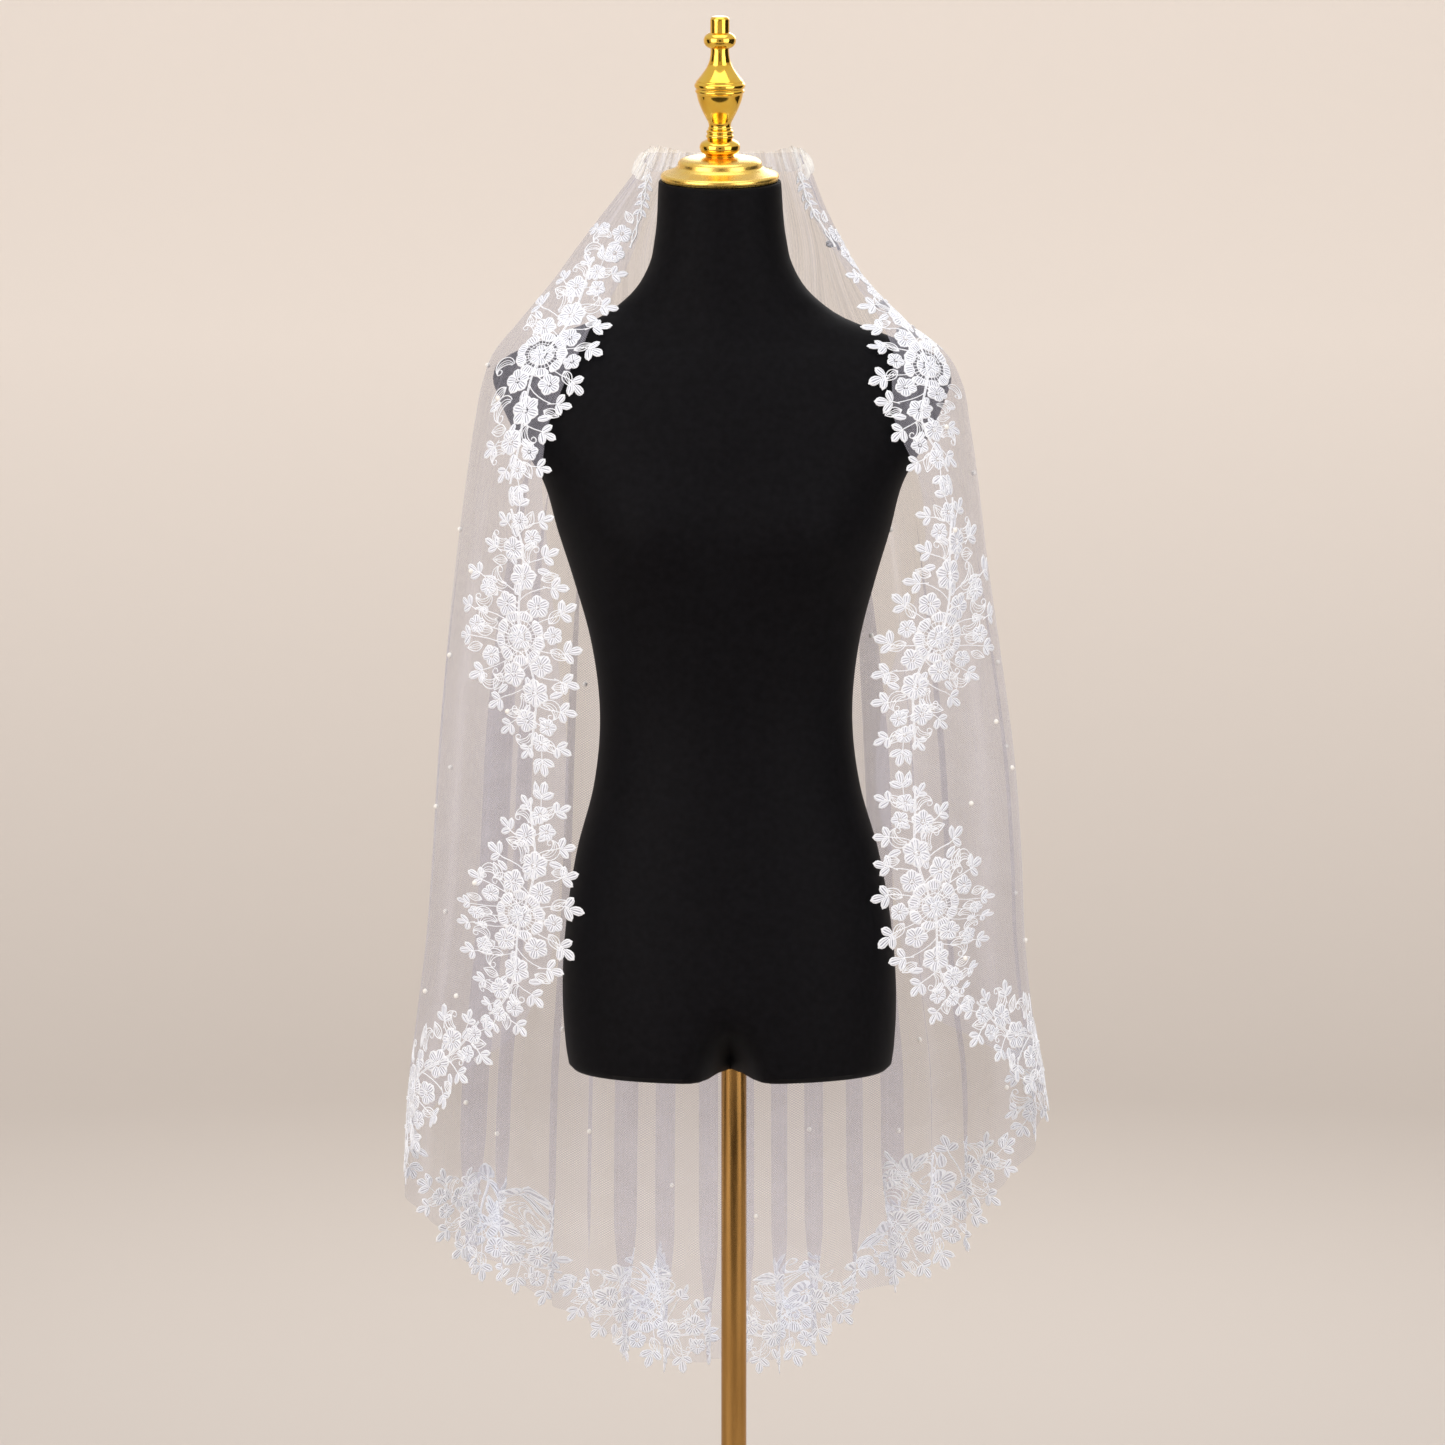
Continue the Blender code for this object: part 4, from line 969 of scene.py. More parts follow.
@dataclass
class Drape:
    """The hung veil as a surface of cloth fraction across and fraction down.

    Across runs from -1 at the left front edge to 1 at the right one, counted
    in cloth, so that folds hold more of it. Down is 0 at the heading, 1 at
    the hem. The cloth is gathered evenly from even_to up, and the folds widen
    between lace_low and lace_high above the hem.
    """

    centre_x: float = -8.8 * MM
    heading_z: float = 1.510
    heading_droop: float = 15 * MM
    droop_from: float = 0.36
    even_from: float = 1.33
    even_to: float = 1.48
    shoulder_z: float = 1.325
    shoulder_reach: float = 0.09
    shoulder_flatness: float = 0.5
    side_u: float = 0.72
    gathers: int = 15
    gather_depth: float = 1.7 * MM
    gather_top: float = 1.475
    gather_end: float = 1.340
    fine_gathers: int = 47
    fine_depth: float = 0.45 * MM
    fine_end: float = 1.22
    smooth_edge: float = 0.22
    fold_start: float = 1.40
    fold_full: float = 0.95
    fold_widen: float = 0.9
    lace_low: float = 0.02
    lace_high: float = 0.12
    half_breadth: float = 0.42
    column: dict = field(default_factory=dict)

    def __post_init__(self) -> None:
        """Fit the curves through the tables and count the cloth of the folds."""
        rows = sorted(VEIL_ROWS)
        heights = [row.z for row in rows]
        for name in VeilRow._fields[1:]:
            self.column[name] = curve_through(heights, [getattr(row, name) * MM for row in rows])
        self.hem_height = curve_through([p.u for p in HEM], [p.z for p in HEM])
        self.samples_u = np.linspace(-1, 1, 801)
        weight = np.ones_like(self.samples_u)
        for fold in FOLDS:
            weight += (fold.cloth - 1) * (np.abs(self.samples_u - fold.u) < fold.half_width)
        total = np.concatenate([[0], np.cumsum((weight[1:] + weight[:-1]) / 2)])
        self.samples_cloth = 2 * total / total[-1] - 1

    def section(self, u: np.ndarray, z: np.ndarray) -> np.ndarray:
        """Return the unfolded veil's points at section place u and height z."""
        left = u < 0
        side_x, side_y, edge_x, edge_y = (
            np.where(left, self.column["left_" + name](z), self.column["right_" + name](z))
            for name in ("side_x", "side_y", "edge_x", "edge_y"))
        turn = np.clip(1 - np.abs(u) / self.side_u, 0, 1) * math.pi / 2
        shoulder = np.exp(-((z - self.shoulder_z) / self.shoulder_reach) ** 2)
        power = 2 - self.shoulder_flatness * shoulder
        back_x = side_x * np.abs(np.cos(turn)) ** (2 / power)
        back_y = side_y + (self.column["back_y"](z) - side_y) * np.sin(turn) ** (2 / power)
        turn = (1 - np.abs(u)) / (1 - self.side_u) * math.pi / 2
        front_x = edge_x + (side_x - edge_x) * np.sin(turn)
        front_y = side_y + (edge_y - side_y) * np.cos(turn)
        behind = np.abs(u) <= self.side_u
        return np.stack([self.centre_x + np.where(behind, back_x, front_x),
                         np.where(behind, back_y, front_y), z], axis=-1)

    def points(self, across: np.ndarray, down: np.ndarray) -> np.ndarray:
        """Return the folded veil's inner surface.

        Args:
            across: Cloth fractions from -1 to 1.
            down: Cloth fractions from 0 to 1, of the same shape.

        Returns:
            The points, with the coordinate as the last axis.
        """
        own = np.interp(across, self.samples_cloth, self.samples_u)
        top = self.heading_z - self.heading_droop * smooth_step(np.abs(own), self.droop_from, 1.0)
        z = top - (top - self.hem_height(own)) * down
        u = own + (across - own) * smooth_step(z, self.even_from, self.even_to)
        step = 0.004
        along = self.section(u + step, z) - self.section(u - step, z)
        along /= np.linalg.norm(along, axis=-1, keepdims=True)
        outward = np.stack([-along[..., 1], along[..., 0], np.zeros_like(z)], axis=-1)
        full = 1 - smooth_step(z, self.fold_full, self.fold_start)
        over_hem = z - self.hem_height(own)
        wide = 1 + self.fold_widen * smooth_step(over_hem, self.lace_low, self.lace_high)
        depth, shift = np.zeros_like(z), np.zeros_like(z)
        for fold in FOLDS:
            reach = np.clip((own - fold.u) / fold.half_width, -1, 1)
            depth += fold.depth * MM * (1 + np.cos(math.pi * reach)) / 2 * full
            shift += fold.overlap * MM * np.sin(2 * math.pi * reach) * full * wide
        for crease in CREASES:
            run = np.clip((crease.top - z) / (crease.top - crease.bottom), -0.5, 1.5)
            centre = crease.u + crease.drift * run
            ends = smooth_step(run, -0.2, 0.35) * (1 - smooth_step(run, 0.75, 1.35))
            distance = (own - centre) * self.half_breadth / (crease.width * MM)
            depth += crease.depth * MM * np.exp(-distance ** 2) * ends
        waves = 1 + np.cos(math.pi * self.gathers * (across + 1))
        gather = self.gather_depth * smooth_step(z, self.gather_end, self.gather_top)
        phase = math.pi * self.fine_gathers * (across + 1) + 1.4 * np.sin(11 * across)
        fine = self.fine_depth * smooth_step(z, self.fine_end, self.gather_top)
        edge = smooth_step(1 - np.abs(across), 0.02, self.smooth_edge)
        fine_edge = smooth_step(1 - np.abs(across), 0.0, 0.05)
        depth += gather * waves * edge + fine * (1 + np.cos(phase)) * fine_edge
        return self.section(u, z) + outward * depth[..., None] + along * shift[..., None]


@dataclass
class ClothGrid:
    """The veil's inner points on a fine grid, and the ways off the form.

    Two columns past each front edge and a row past the hem carry the lace that
    stands over them, and the rows crowd together towards the heading.
    """

    drape: Drape
    form: BVHTree
    columns: int = 300
    rows: int = 150
    row_crowding: float = 1.25
    hang_rows: int = 5
    clearance: float = 3.0 * MM
    ghost: float = 0.06
    edge_run: float = 0.05

    def __post_init__(self) -> None:
        """Work out the grid's points and directions."""
        inside = np.linspace(-1, 1, self.columns + 1)
        rows = np.linspace(0, 1, self.rows + 1) ** self.row_crowding
        across, down = np.meshgrid(inside, rows)
        points = self.drape.points(across, down)
        flat = points.reshape(-1, 3)
        for index, point in enumerate(flat):
            flat[index] = self.settled(Vector(point))
        inner = self.drape.points(np.array([[-1 + self.edge_run, 1 - self.edge_run]] * len(rows)),
                                  np.stack([rows, rows], axis=1))
        for side, edge in ((0, points[:, :1]), (1, points[:, -1:])):
            beyond = (edge - inner[:, side:side + 1]) / self.edge_run
            steps = np.array([2, 1] if side == 0 else [1, 2]) * self.ghost
            added = edge + beyond * steps[None, :, None]
            points = np.concatenate([added, points] if side == 0 else [points, added], axis=1)
        above = -1 - self.hang_rows
        hang = points[-1:] - points[above:above + 1]
        points = np.concatenate([points, points[-1:] + hang * self.ghost / (1 - rows[above])])
        self.points = points
        self.across = np.concatenate([[-1 - 2 * self.ghost, -1 - self.ghost], inside,
                                      [1 + self.ghost, 1 + 2 * self.ghost]])
        self.down = np.concatenate([rows, [1 + self.ghost]])
        normal = np.cross(np.gradient(points, axis=0), np.gradient(points, axis=1))
        self.outward = -normal / np.linalg.norm(normal, axis=2, keepdims=True)

    def settled(self, point: Vector) -> Vector:
        """Return a point moved out to clear the form, where it has to be."""
        near, normal, _, distance = self.form.find_nearest(point)
        away = (point - near).normalized()
        if away.dot(normal) < -0.5:
            return near + normal * self.clearance
        if distance < self.clearance:
            return near + away * self.clearance
        return point

    def at(self, across: np.ndarray, down: np.ndarray,
           offset: np.ndarray | float = 0.0) -> np.ndarray:
        """Return points of the cloth, moved out by an offset.

        Args:
            across: Cloth fractions across; past the edges the cloth runs on.
            down: Cloth fractions down.
            offset: How far out each point lies, in metres.

        Returns:
            The points, with the coordinate as the last axis.
        """
        column = np.clip(np.searchsorted(self.across, across) - 1, 0, len(self.across) - 2)
        row = np.clip(np.searchsorted(self.down, down) - 1, 0, len(self.down) - 2)
        s = ((across - self.across[column])
             / (self.across[column + 1] - self.across[column]))[..., None]
        t = ((down - self.down[row]) / (self.down[row + 1] - self.down[row]))[..., None]
        offset = np.asarray(offset)[..., None]
        corners = [self.points[r, c] + offset * self.outward[r, c]
                   for r in (row, row + 1) for c in (column, column + 1)]
        upper = corners[0] * (1 - s) + corners[1] * s
        lower = corners[2] * (1 - s) + corners[3] * s
        return upper * (1 - t) + lower * t


@dataclass
class Border:
    """Flat places beside the veil's edge, laid on the cloth.

    Along runs from the left heading round the hem to the right heading, and
    inward is the distance from the edge, negative outside it.
    """

    grid: ClothGrid
    trim_length: float = 85 * MM
    count: int = 12
    step: float = 2 * MM
    inward_step: float = 3 * MM
    front_samples: int = 500
    hem_samples: int = 900
    smoothing: int = 9
    most_inward: int = 34
    most_outward: int = 14
    tangent_run: float = 22 * MM

    def __post_init__(self) -> None:
        """Walk in from every place of the edge and note the cloth passed."""
        ways = np.linspace(0, 1, self.front_samples)
        wide = np.linspace(-1, 1, self.hem_samples)
        places = np.concatenate([
            np.stack([-np.ones_like(ways), ways], axis=1),
            np.stack([wide, np.ones_like(wide)], axis=1)[1:],
            np.stack([np.ones_like(ways), ways[::-1]], axis=1)[1:]])
        points = self.grid.at(places[:, 0], places[:, 1])
        gaps = np.linalg.norm(np.diff(points, axis=0), axis=1)
        distance = np.concatenate([[0], np.cumsum(gaps)])
        self.length = float(distance[-1])
        self.pitch = (self.length - 2 * self.trim_length) / self.count
        self.along = np.arange(0, self.length + self.step, self.step)

        def edge_place(along: np.ndarray) -> np.ndarray:
            """Return the cloth places of distances along the edge."""
            along = np.clip(along, 0, self.length)
            return np.stack([np.interp(along, distance, places[:, axis]) for axis in (0, 1)],
                            axis=1)

        start = edge_place(self.along)
        run = edge_place(self.along + self.tangent_run) - edge_place(self.along - self.tangent_run)
        across_side, down_side = self.spread(start)
        tangent = across_side * run[:, :1] + down_side * run[:, 1:]
        tangent /= np.linalg.norm(tangent, axis=1, keepdims=True)
        walks = []
        for sign, count in ((-1, self.most_outward), (1, self.most_inward)):
            at = start
            walk = []
            for _ in range(count):
                at = self.stepped(at, tangent, sign * self.inward_step)
                walk.append(at)
            walks.append(walk)
        table = np.stack(walks[0][::-1] + [start] + walks[1], axis=1)
        window = np.ones(self.smoothing) / self.smoothing
        half = self.smoothing // 2
        padded = np.pad(table, ((half, half), (0, 0), (0, 0)), mode="edge")
        self.table = np.apply_along_axis(lambda line: np.convolve(line, window, "valid"), 0, padded)

    def spread(self, at: np.ndarray) -> tuple[np.ndarray, np.ndarray]:
        """Return what a unit across and a unit down measure at cloth places."""
        reach = 0.02
        centre = np.clip(at, [-1 + reach, reach], [1 - reach, 1 - reach])
        sides = []
        for axis in (0, 1):
            shift = np.zeros(2)
            shift[axis] = reach
            path = [self.grid.at(*(centre + shift * k).T) for k in np.linspace(-1, 1, 9)]
            length = sum(np.linalg.norm(b - a, axis=1) for a, b in zip(path, path[1:]))
            chord = path[-1] - path[0]
            chord /= np.linalg.norm(chord, axis=1, keepdims=True)
            sides.append(chord * (length / (2 * reach))[:, None])
        return sides[0], sides[1]

    def stepped(self, at: np.ndarray, tangent: np.ndarray, reach: float) -> np.ndarray:
        """Return cloth places moved by reach, at right angles to the edge."""
        across_side, down_side = self.spread(at)
        inside = np.cross(tangent, np.cross(across_side, down_side))
        inside /= np.linalg.norm(inside, axis=1, keepdims=True)
        aa = np.sum(across_side * across_side, axis=1)
        bb = np.sum(down_side * down_side, axis=1)
        ab = np.sum(across_side * down_side, axis=1)
        ra = np.sum(across_side * inside, axis=1) * reach
        rb = np.sum(down_side * inside, axis=1) * reach
        det = aa * bb - ab * ab
        return at + np.stack([(ra * bb - rb * ab) / det, (rb * aa - ra * ab) / det], axis=1)

    def lay(self, along: np.ndarray, inward: np.ndarray, height: np.ndarray) -> np.ndarray:
        """Return flat places laid on the cloth, height above its inner face."""
        i = np.clip(along / self.step, 0, len(self.along) - 1.001)
        j = np.clip(inward / self.inward_step + self.most_outward, 0, self.table.shape[1] - 1.001)
        i0, j0 = i.astype(int), j.astype(int)
        s, t = (i - i0)[:, None], (j - j0)[:, None]
        place = ((self.table[i0, j0] * (1 - s) + self.table[i0 + 1, j0] * s) * (1 - t)
                 + (self.table[i0, j0 + 1] * (1 - s) + self.table[i0 + 1, j0 + 1] * s) * t)
        return self.grid.at(place[:, 0], place[:, 1], height)


# Lace


class Kind(Enum):
    """The figures that the lace is drawn from."""

    ROSE = "rose"
    BLOSSOM = "blossom"
    TRIPLET = "triplet"
    LEAF = "leaf"
    OPEN_LEAF = "open leaf"
    SCROLL = "scroll"


class Figure(NamedTuple):
    """A figure of the lace: its place, size and turn.

    Along and inward are in millimetres, size is its radius or length, and
    turn is in degrees, counted from along towards inward.
    """

    kind: Kind
    along: float
    inward: float
    size: float
    turn: float


FIGURES = [
    Figure(Kind.ROSE, 121, 33, 25, 15),
    Figure(Kind.BLOSSOM, 74, 23, 13, 0),
    Figure(Kind.BLOSSOM, 173, 24, 13, 35),
    Figure(Kind.BLOSSOM, 91, 42, 11.5, 50),
    Figure(Kind.BLOSSOM, 151, 43, 11.5, 10),
    Figure(Kind.BLOSSOM, 50, 34, 11, 20),
    Figure(Kind.BLOSSOM, 198, 31, 11, 70),
    Figure(Kind.BLOSSOM, 97, 15, 10.5, 30),
    Figure(Kind.BLOSSOM, 147, 13, 10.5, 0),
    Figure(Kind.BLOSSOM, 30, 22, 8.5, 0),
    Figure(Kind.BLOSSOM, 221, 22, 8.5, 55),
    Figure(Kind.BLOSSOM, 107, 64, 9.5, 20),
    Figure(Kind.BLOSSOM, 166, 62, 8.5, 30),
    Figure(Kind.BLOSSOM, 134, 76, 8.5, 0),
    Figure(Kind.BLOSSOM, 122, 2, 8.5, 15),
    Figure(Kind.BLOSSOM, 206, 12, 8, 40),
    Figure(Kind.BLOSSOM, 44, 15, 8, 50),
    Figure(Kind.TRIPLET, 84, 2, 21, -116),
    Figure(Kind.TRIPLET, 106, -2, 22, -86),
    Figure(Kind.TRIPLET, 138, -2, 22, -68),
    Figure(Kind.TRIPLET, 163, 4, 21, -100),
    Figure(Kind.TRIPLET, 58, 7, 20, -106),
    Figure(Kind.TRIPLET, 187, 8, 20, -72),
    Figure(Kind.TRIPLET, 20, 22, 21, 184),
    Figure(Kind.TRIPLET, 230, 21, 20, -10),
    Figure(Kind.TRIPLET, 28, 12, 18, -122),
    Figure(Kind.TRIPLET, 218, 8, 18, -80),
    Figure(Kind.TRIPLET, 50, 47, 19, 126),
    Figure(Kind.TRIPLET, 72, 55, 20, 116),
    Figure(Kind.TRIPLET, 96, 70, 20, 108),
    Figure(Kind.TRIPLET, 124, 80, 19, 84),
    Figure(Kind.TRIPLET, 148, 78, 19, 60),
    Figure(Kind.TRIPLET, 176, 66, 20, 56),
    Figure(Kind.TRIPLET, 198, 46, 19, 50),
    Figure(Kind.TRIPLET, 218, 32, 17, 36),
    Figure(Kind.TRIPLET, 28, 32, 17, 140),
    Figure(Kind.SCROLL, 104, 50, 23, 132),
    Figure(Kind.SCROLL, 138, 54, 23, 54),
    Figure(Kind.SCROLL, 168, 40, 22, 28),
    Figure(Kind.SCROLL, 74, 38, 22, 152),
    Figure(Kind.SCROLL, 184, 16, 20, -30),
    Figure(Kind.SCROLL, 64, 18, 20, -150),
    Figure(Kind.SCROLL, 208, 36, 19, 64),
    Figure(Kind.SCROLL, 40, 32, 19, 110),
    Figure(Kind.SCROLL, 90, 60, 19, 88),
    Figure(Kind.SCROLL, 160, 60, 19, 96),
    Figure(Kind.OPEN_LEAF, 128, 60, 20, 84),
    Figure(Kind.OPEN_LEAF, 92, 54, 18, 144),
    Figure(Kind.OPEN_LEAF, 158, 52, 18, 40),
    Figure(Kind.OPEN_LEAF, 34, 20, 17, 218),
    Figure(Kind.OPEN_LEAF, 214, 17, 17, -30),
    Figure(Kind.OPEN_LEAF, 110, 6, 17, -124),
    Figure(Kind.OPEN_LEAF, 132, 5, 17, -44),
    Figure(Kind.OPEN_LEAF, 188, 38, 17, 84),
    Figure(Kind.OPEN_LEAF, 58, 38, 16, 96),
    Figure(Kind.OPEN_LEAF, 78, 8, 16, -92),
    Figure(Kind.OPEN_LEAF, 170, 8, 16, -80),
    Figure(Kind.OPEN_LEAF, 116, 72, 16, 100),
    Figure(Kind.LEAF, 88, 30, 14, 196),
    Figure(Kind.LEAF, 158, 32, 14, -12),
    Figure(Kind.LEAF, 64, 30, 13, 146),
    Figure(Kind.LEAF, 184, 30, 13, 24),
    Figure(Kind.LEAF, 40, 26, 13, 164),
    Figure(Kind.LEAF, 208, 26, 13, 18),
    Figure(Kind.LEAF, 14, 26, 14, 168),
    Figure(Kind.LEAF, 234, 27, 13, 12),
    Figure(Kind.LEAF, 70, 10, 13, -76),
    Figure(Kind.LEAF, 178, 10, 13, -108),
    Figure(Kind.LEAF, 52, 22, 12, 244),
    Figure(Kind.LEAF, 196, 20, 12, -56),
    Figure(Kind.LEAF, 114, 62, 13, 116),
    Figure(Kind.LEAF, 144, 64, 13, 70),
    Figure(Kind.LEAF, 82, 50, 13, 124),
    Figure(Kind.LEAF, 170, 52, 13, 62),
]
# Sprays between the hem's middle and the flat fronts, and at the shoulders, keep to this breadth
SLENDER_BREADTH = 57.0


@dataclass
class LaceDrawing:
    """A drawing of lace in flat millimetres, with its height as z.

    A petal is a thin cushion: the heights of its rim and middle count from its
    middle layer, and its inner side has inner_share of them. The attribute
    stitch holds, for each point, how far across and along its petal it lies in
    millimetres, and 1 where satin stitches fill the petal.
    """

    cord_radius: float = 0.50
    fine_radius: float = 0.34
    inner_share: float = 0.9
    petal_rim: float = 0.60
    petal_middle: float = 0.26
    leaf_rim: float = 0.56
    leaf_middle: float = 0.34
    leaf_vein: float = 0.16
    bm: bmesh.types.BMesh = field(default_factory=bmesh.new)
    cords: list = field(default_factory=list)
    radii: list = field(default_factory=list)
    place: Matrix = field(default_factory=lambda: Matrix.Identity(4))

    WIDE = (-1.0, -0.84, -0.42, 0.0, 0.42, 0.84, 1.0)
    LONG = (0.0, 0.10, 0.36, 0.66, 0.89, 1.0)

    def __post_init__(self) -> None:
        """Make the attribute that the thread's material reads."""
        self.stitch = self.bm.verts.layers.float_vector.new("stitch")

    def patch(self, length: float, width: float, start: float, turn: float, lift: float = 0.0,
              pointed: bool = False) -> None:
        """Add a satin-stitched petal or leaf with a corded rim.

        Args:
            length: Its length.
            width: Its greatest width.
            start: How far from the figure's middle it starts.
            turn: Its direction, in degrees.
            lift: The height of its middle.
            pointed: Whether it is a pointed leaf with a sunk vein.
        """
        columns, rows = len(self.WIDE) - 1, len(self.LONG) - 1
        verts = []
        for side in (1.0, -self.inner_share):
            made = bmesh.ops.create_grid(self.bm, x_segments=columns, y_segments=rows, size=1)
            for vert in made["verts"]:
                i = round((vert.co.x + 1) / 2 * columns)
                j = round((vert.co.y + 1) / 2 * rows)
                u, v = self.WIDE[i], self.LONG[j]
                rim = i in (0, columns) or j in (0, rows)
                cord = not rim and (i in (1, columns - 1) or j == rows - 1)
                if pointed:
                    breadth = math.sin(math.pi * (0.05 + 0.91 * v) ** 0.80) ** 0.8
                    inside = self.leaf_vein if u == 0 else self.leaf_middle
                    height = 0.0 if rim else self.leaf_rim if cord else inside
                else:
                    run = (v - 0.60) / (0.62 if v < 0.60 else 0.42)
                    breadth = math.sqrt(max(0.0, 1 - run ** 2))
                    height = 0.0 if rim else self.petal_rim if cord else self.petal_middle
                reach = length * v * (1 - 0.10 * u * u * v)
                vert.co = Vector((start + reach, width / 2 * u * max(0.10, breadth),
                                  lift + side * height))
                vert[self.stitch] = (u * width / 2, reach, 0.0 if rim or cord else 1.0)
            if side > 0:
                bmesh.ops.reverse_faces(self.bm, faces=list({f for v in made["verts"]
                                                             for f in v.link_faces}))
            verts += made["verts"]
        bmesh.ops.transform(self.bm, verts=verts,
                            matrix=self.place @ Matrix.Rotation(math.radians(turn), 4, "Z"))
        bmesh.ops.remove_doubles(self.bm, verts=verts, dist=1e-4)

    def cord(self, path: list, radius: float, lift: float = 0.15) -> None:
        """Add a cord along a path of x and y."""
        self.cords.append([self.place @ Vector((x, y, lift)) for x, y in path])
        self.radii.append(radius)

    def knot(self, x: float, y: float, radius: float, lift: float) -> None:
        """Add a small round knot that shows on both sides."""
        place = self.place @ Matrix.Translation((x, y, lift)) @ Matrix.Diagonal((1, 1, 1.3, 1))
        bmesh.ops.create_uvsphere(self.bm, u_segments=6, v_segments=4, radius=radius, matrix=place)

    def blossom(self, size: float) -> None:
        """Draw a blossom of five or six round petals about a knotted middle."""
        petals = 6 if size > 12.5 else 5
        width = size * (0.80 if petals == 6 else 0.92)
        for i in range(petals):
            self.patch(size * 0.80, width, size * 0.20, 360 * i / petals, 0.12 * (i % 2))
        count = 3 if size > 10 else 1
        for i in range(count):
            angle = 2 * math.pi * i / count + 0.4
            off = size * 0.10 if count > 1 else 0.0
            self.knot(off * math.cos(angle), off * math.sin(angle), 0.95 if count > 1 else 1.1,
                      0.35)

    def rose(self, size: float) -> None:
        """Draw a rose: a scalloped ruff, a threaded gap and a layered heart."""
        for i in range(9):
            reach = size * (0.40 + 0.04 * math.sin(2.3 * i))
            self.patch(reach, size * 0.62, size * 0.98 - reach, 40 * i + 3 * math.sin(1.7 * i),
                       0.12 * (i % 2))
        for i in range(27):
            angle = 2 * math.pi * i / 27
            self.cord([(size * r * math.cos(angle), size * r * math.sin(angle))
                       for r in (0.42, 0.66)], self.fine_radius)
        for share in (0.47, 0.64):
            self.cord([(size * share * math.cos(a), size * share * math.sin(a))
                       for a in np.linspace(0, 2 * math.pi, 25)], self.fine_radius)
        outer = self.place
        self.place = outer @ Matrix.Translation((size * 0.03, -size * 0.04, 0))
        for i in range(6):
            self.patch(size * 0.27, size * 0.38, size * 0.19, 60 * i + 17, 0.35)
        self.place = outer @ Matrix.Translation((size * 0.06, size * 0.02, 0))
        for i in range(4):
            self.patch(size * 0.21, size * 0.27, size * 0.04, 90 * i + 50, 0.95)
        self.knot(0, 0, 1.0, 1.6)
        self.place = outer

    def leaf(self, size: float) -> None:
        """Draw one veined leaf."""
        self.patch(size, size * 0.50, 0.0, 0.0, pointed=True)

    def open_leaf(self, size: float) -> None:
        """Draw a leaf of cords only, with the net showing inside."""
        for share, radius in ((1.0, self.cord_radius), (0.42, self.fine_radius)):
            for side in (-1, 1):
                self.cord([(size * (0.02 + 0.96 * k / 8) * (0.82 + 0.18 * share),
                            side * share * size * 0.26 * math.sin(math.pi * (k / 8) ** 0.85))
                           for k in range(9)], radius)
        self.cord([(size * k / 6 * 0.85, 0) for k in range(7)], self.fine_radius)

    def triplet(self, size: float) -> None:
        """Draw a twig's end with three round-ended leaves."""
        self.patch(size * 0.58, size * 0.36, size * 0.40, 4, 0.1)
        outer = self.place
        self.place = outer @ Matrix.Translation((size * 0.20, 0, 0))
        for side, share in ((-1, 0.50), (1, 0.56)):
            self.patch(size * share, size * 0.34, size * 0.03, side * 56)
        self.place = outer
        self.cord([(-size * 0.15, 0.4), (size * 0.15, -0.2), (size * 0.45, 0)], self.cord_radius)

    def scroll(self, size: float) -> None:
        """Draw a curled leaf of nested cords with a tucked-in tip."""
        swing = math.radians(170)
        for lane in (-1.0, -0.45, 0.15, 1.0):
            points = []
            for k in range(12):
                t = k / 11
                angle = math.pi * 0.95 - swing * t
                spread = math.sin(math.pi * min(1.0, 0.06 + t * 0.98)) ** 0.8
                radius = size * 0.40 * (1 + 0.50 * lane * spread)
                points.append((size * 0.40 + radius * math.cos(angle), radius * math.sin(angle)))
            self.cord(points, self.cord_radius if abs(lane) == 1 else self.fine_radius)
        curl = [(size * 0.80 - size * 0.13 * (1 - math.cos(t)), -size * 0.10 * math.sin(t))
                for t in np.linspace(0, 4.2, 7)]
        self.cord(curl, self.cord_radius)

    def figure(self, figure: Figure) -> None:
        """Draw a figure at its place."""
        self.place = (Matrix.Translation((figure.along, figure.inward, 0))
                      @ Matrix.Rotation(math.radians(figure.turn), 4, "Z"))
        draw = {Kind.ROSE: self.rose, Kind.BLOSSOM: self.blossom, Kind.TRIPLET: self.triplet,
                Kind.LEAF: self.leaf, Kind.OPEN_LEAF: self.open_leaf, Kind.SCROLL: self.scroll}
        draw[figure.kind](figure.size)
        self.place = Matrix.Identity(4)

    def stem_inward(self, along: float) -> float:
        """Return how far in the main stem runs."""
        return 27 + 5 * math.sin(2 * math.pi * (along + 12) / 118)

    def stems(self, figures: list, length: float) -> None:
        """Draw the main stem and the twigs that carry the figures."""
        ends = [min(f.along for f in figures) + 2, min(length, max(f.along for f in figures)) - 2]
        for side in (-0.6, 0.6):
            self.cord([(x, self.stem_inward(x) + side) for x in np.linspace(*ends, 44)],
                      self.cord_radius)
        for item in figures:
            rise = item.inward - self.stem_inward(item.along)
            if abs(rise) < 12 or item.kind not in (Kind.TRIPLET, Kind.BLOSSOM):
                continue
            root = item.along + (0.45 if item.along < length / 2 else -0.45) * abs(rise)
            start = Vector((root, self.stem_inward(root)))
            end = Vector((item.along, item.inward))
            middle = Vector((0.75 * item.along + 0.25 * root, start.y + 0.30 * rise))
            path = [tuple(start * (1 - t) ** 2 + middle * 2 * t * (1 - t) + end * t * t)
                    for t in np.linspace(0, 1, 6)]
            self.cord(path, self.cord_radius)

    def mesh(self, name: str) -> bpy.types.Mesh:
        """Return the drawing as one mesh, cords included."""
        cords = tubes(self.cords, self.radii, 1)
        self.bm.from_mesh(cords)
        bpy.data.meshes.remove(cords)
        bmesh.ops.remove_doubles(self.bm, verts=self.bm.verts, dist=1e-5)
        return mesh_of(name, self.bm)


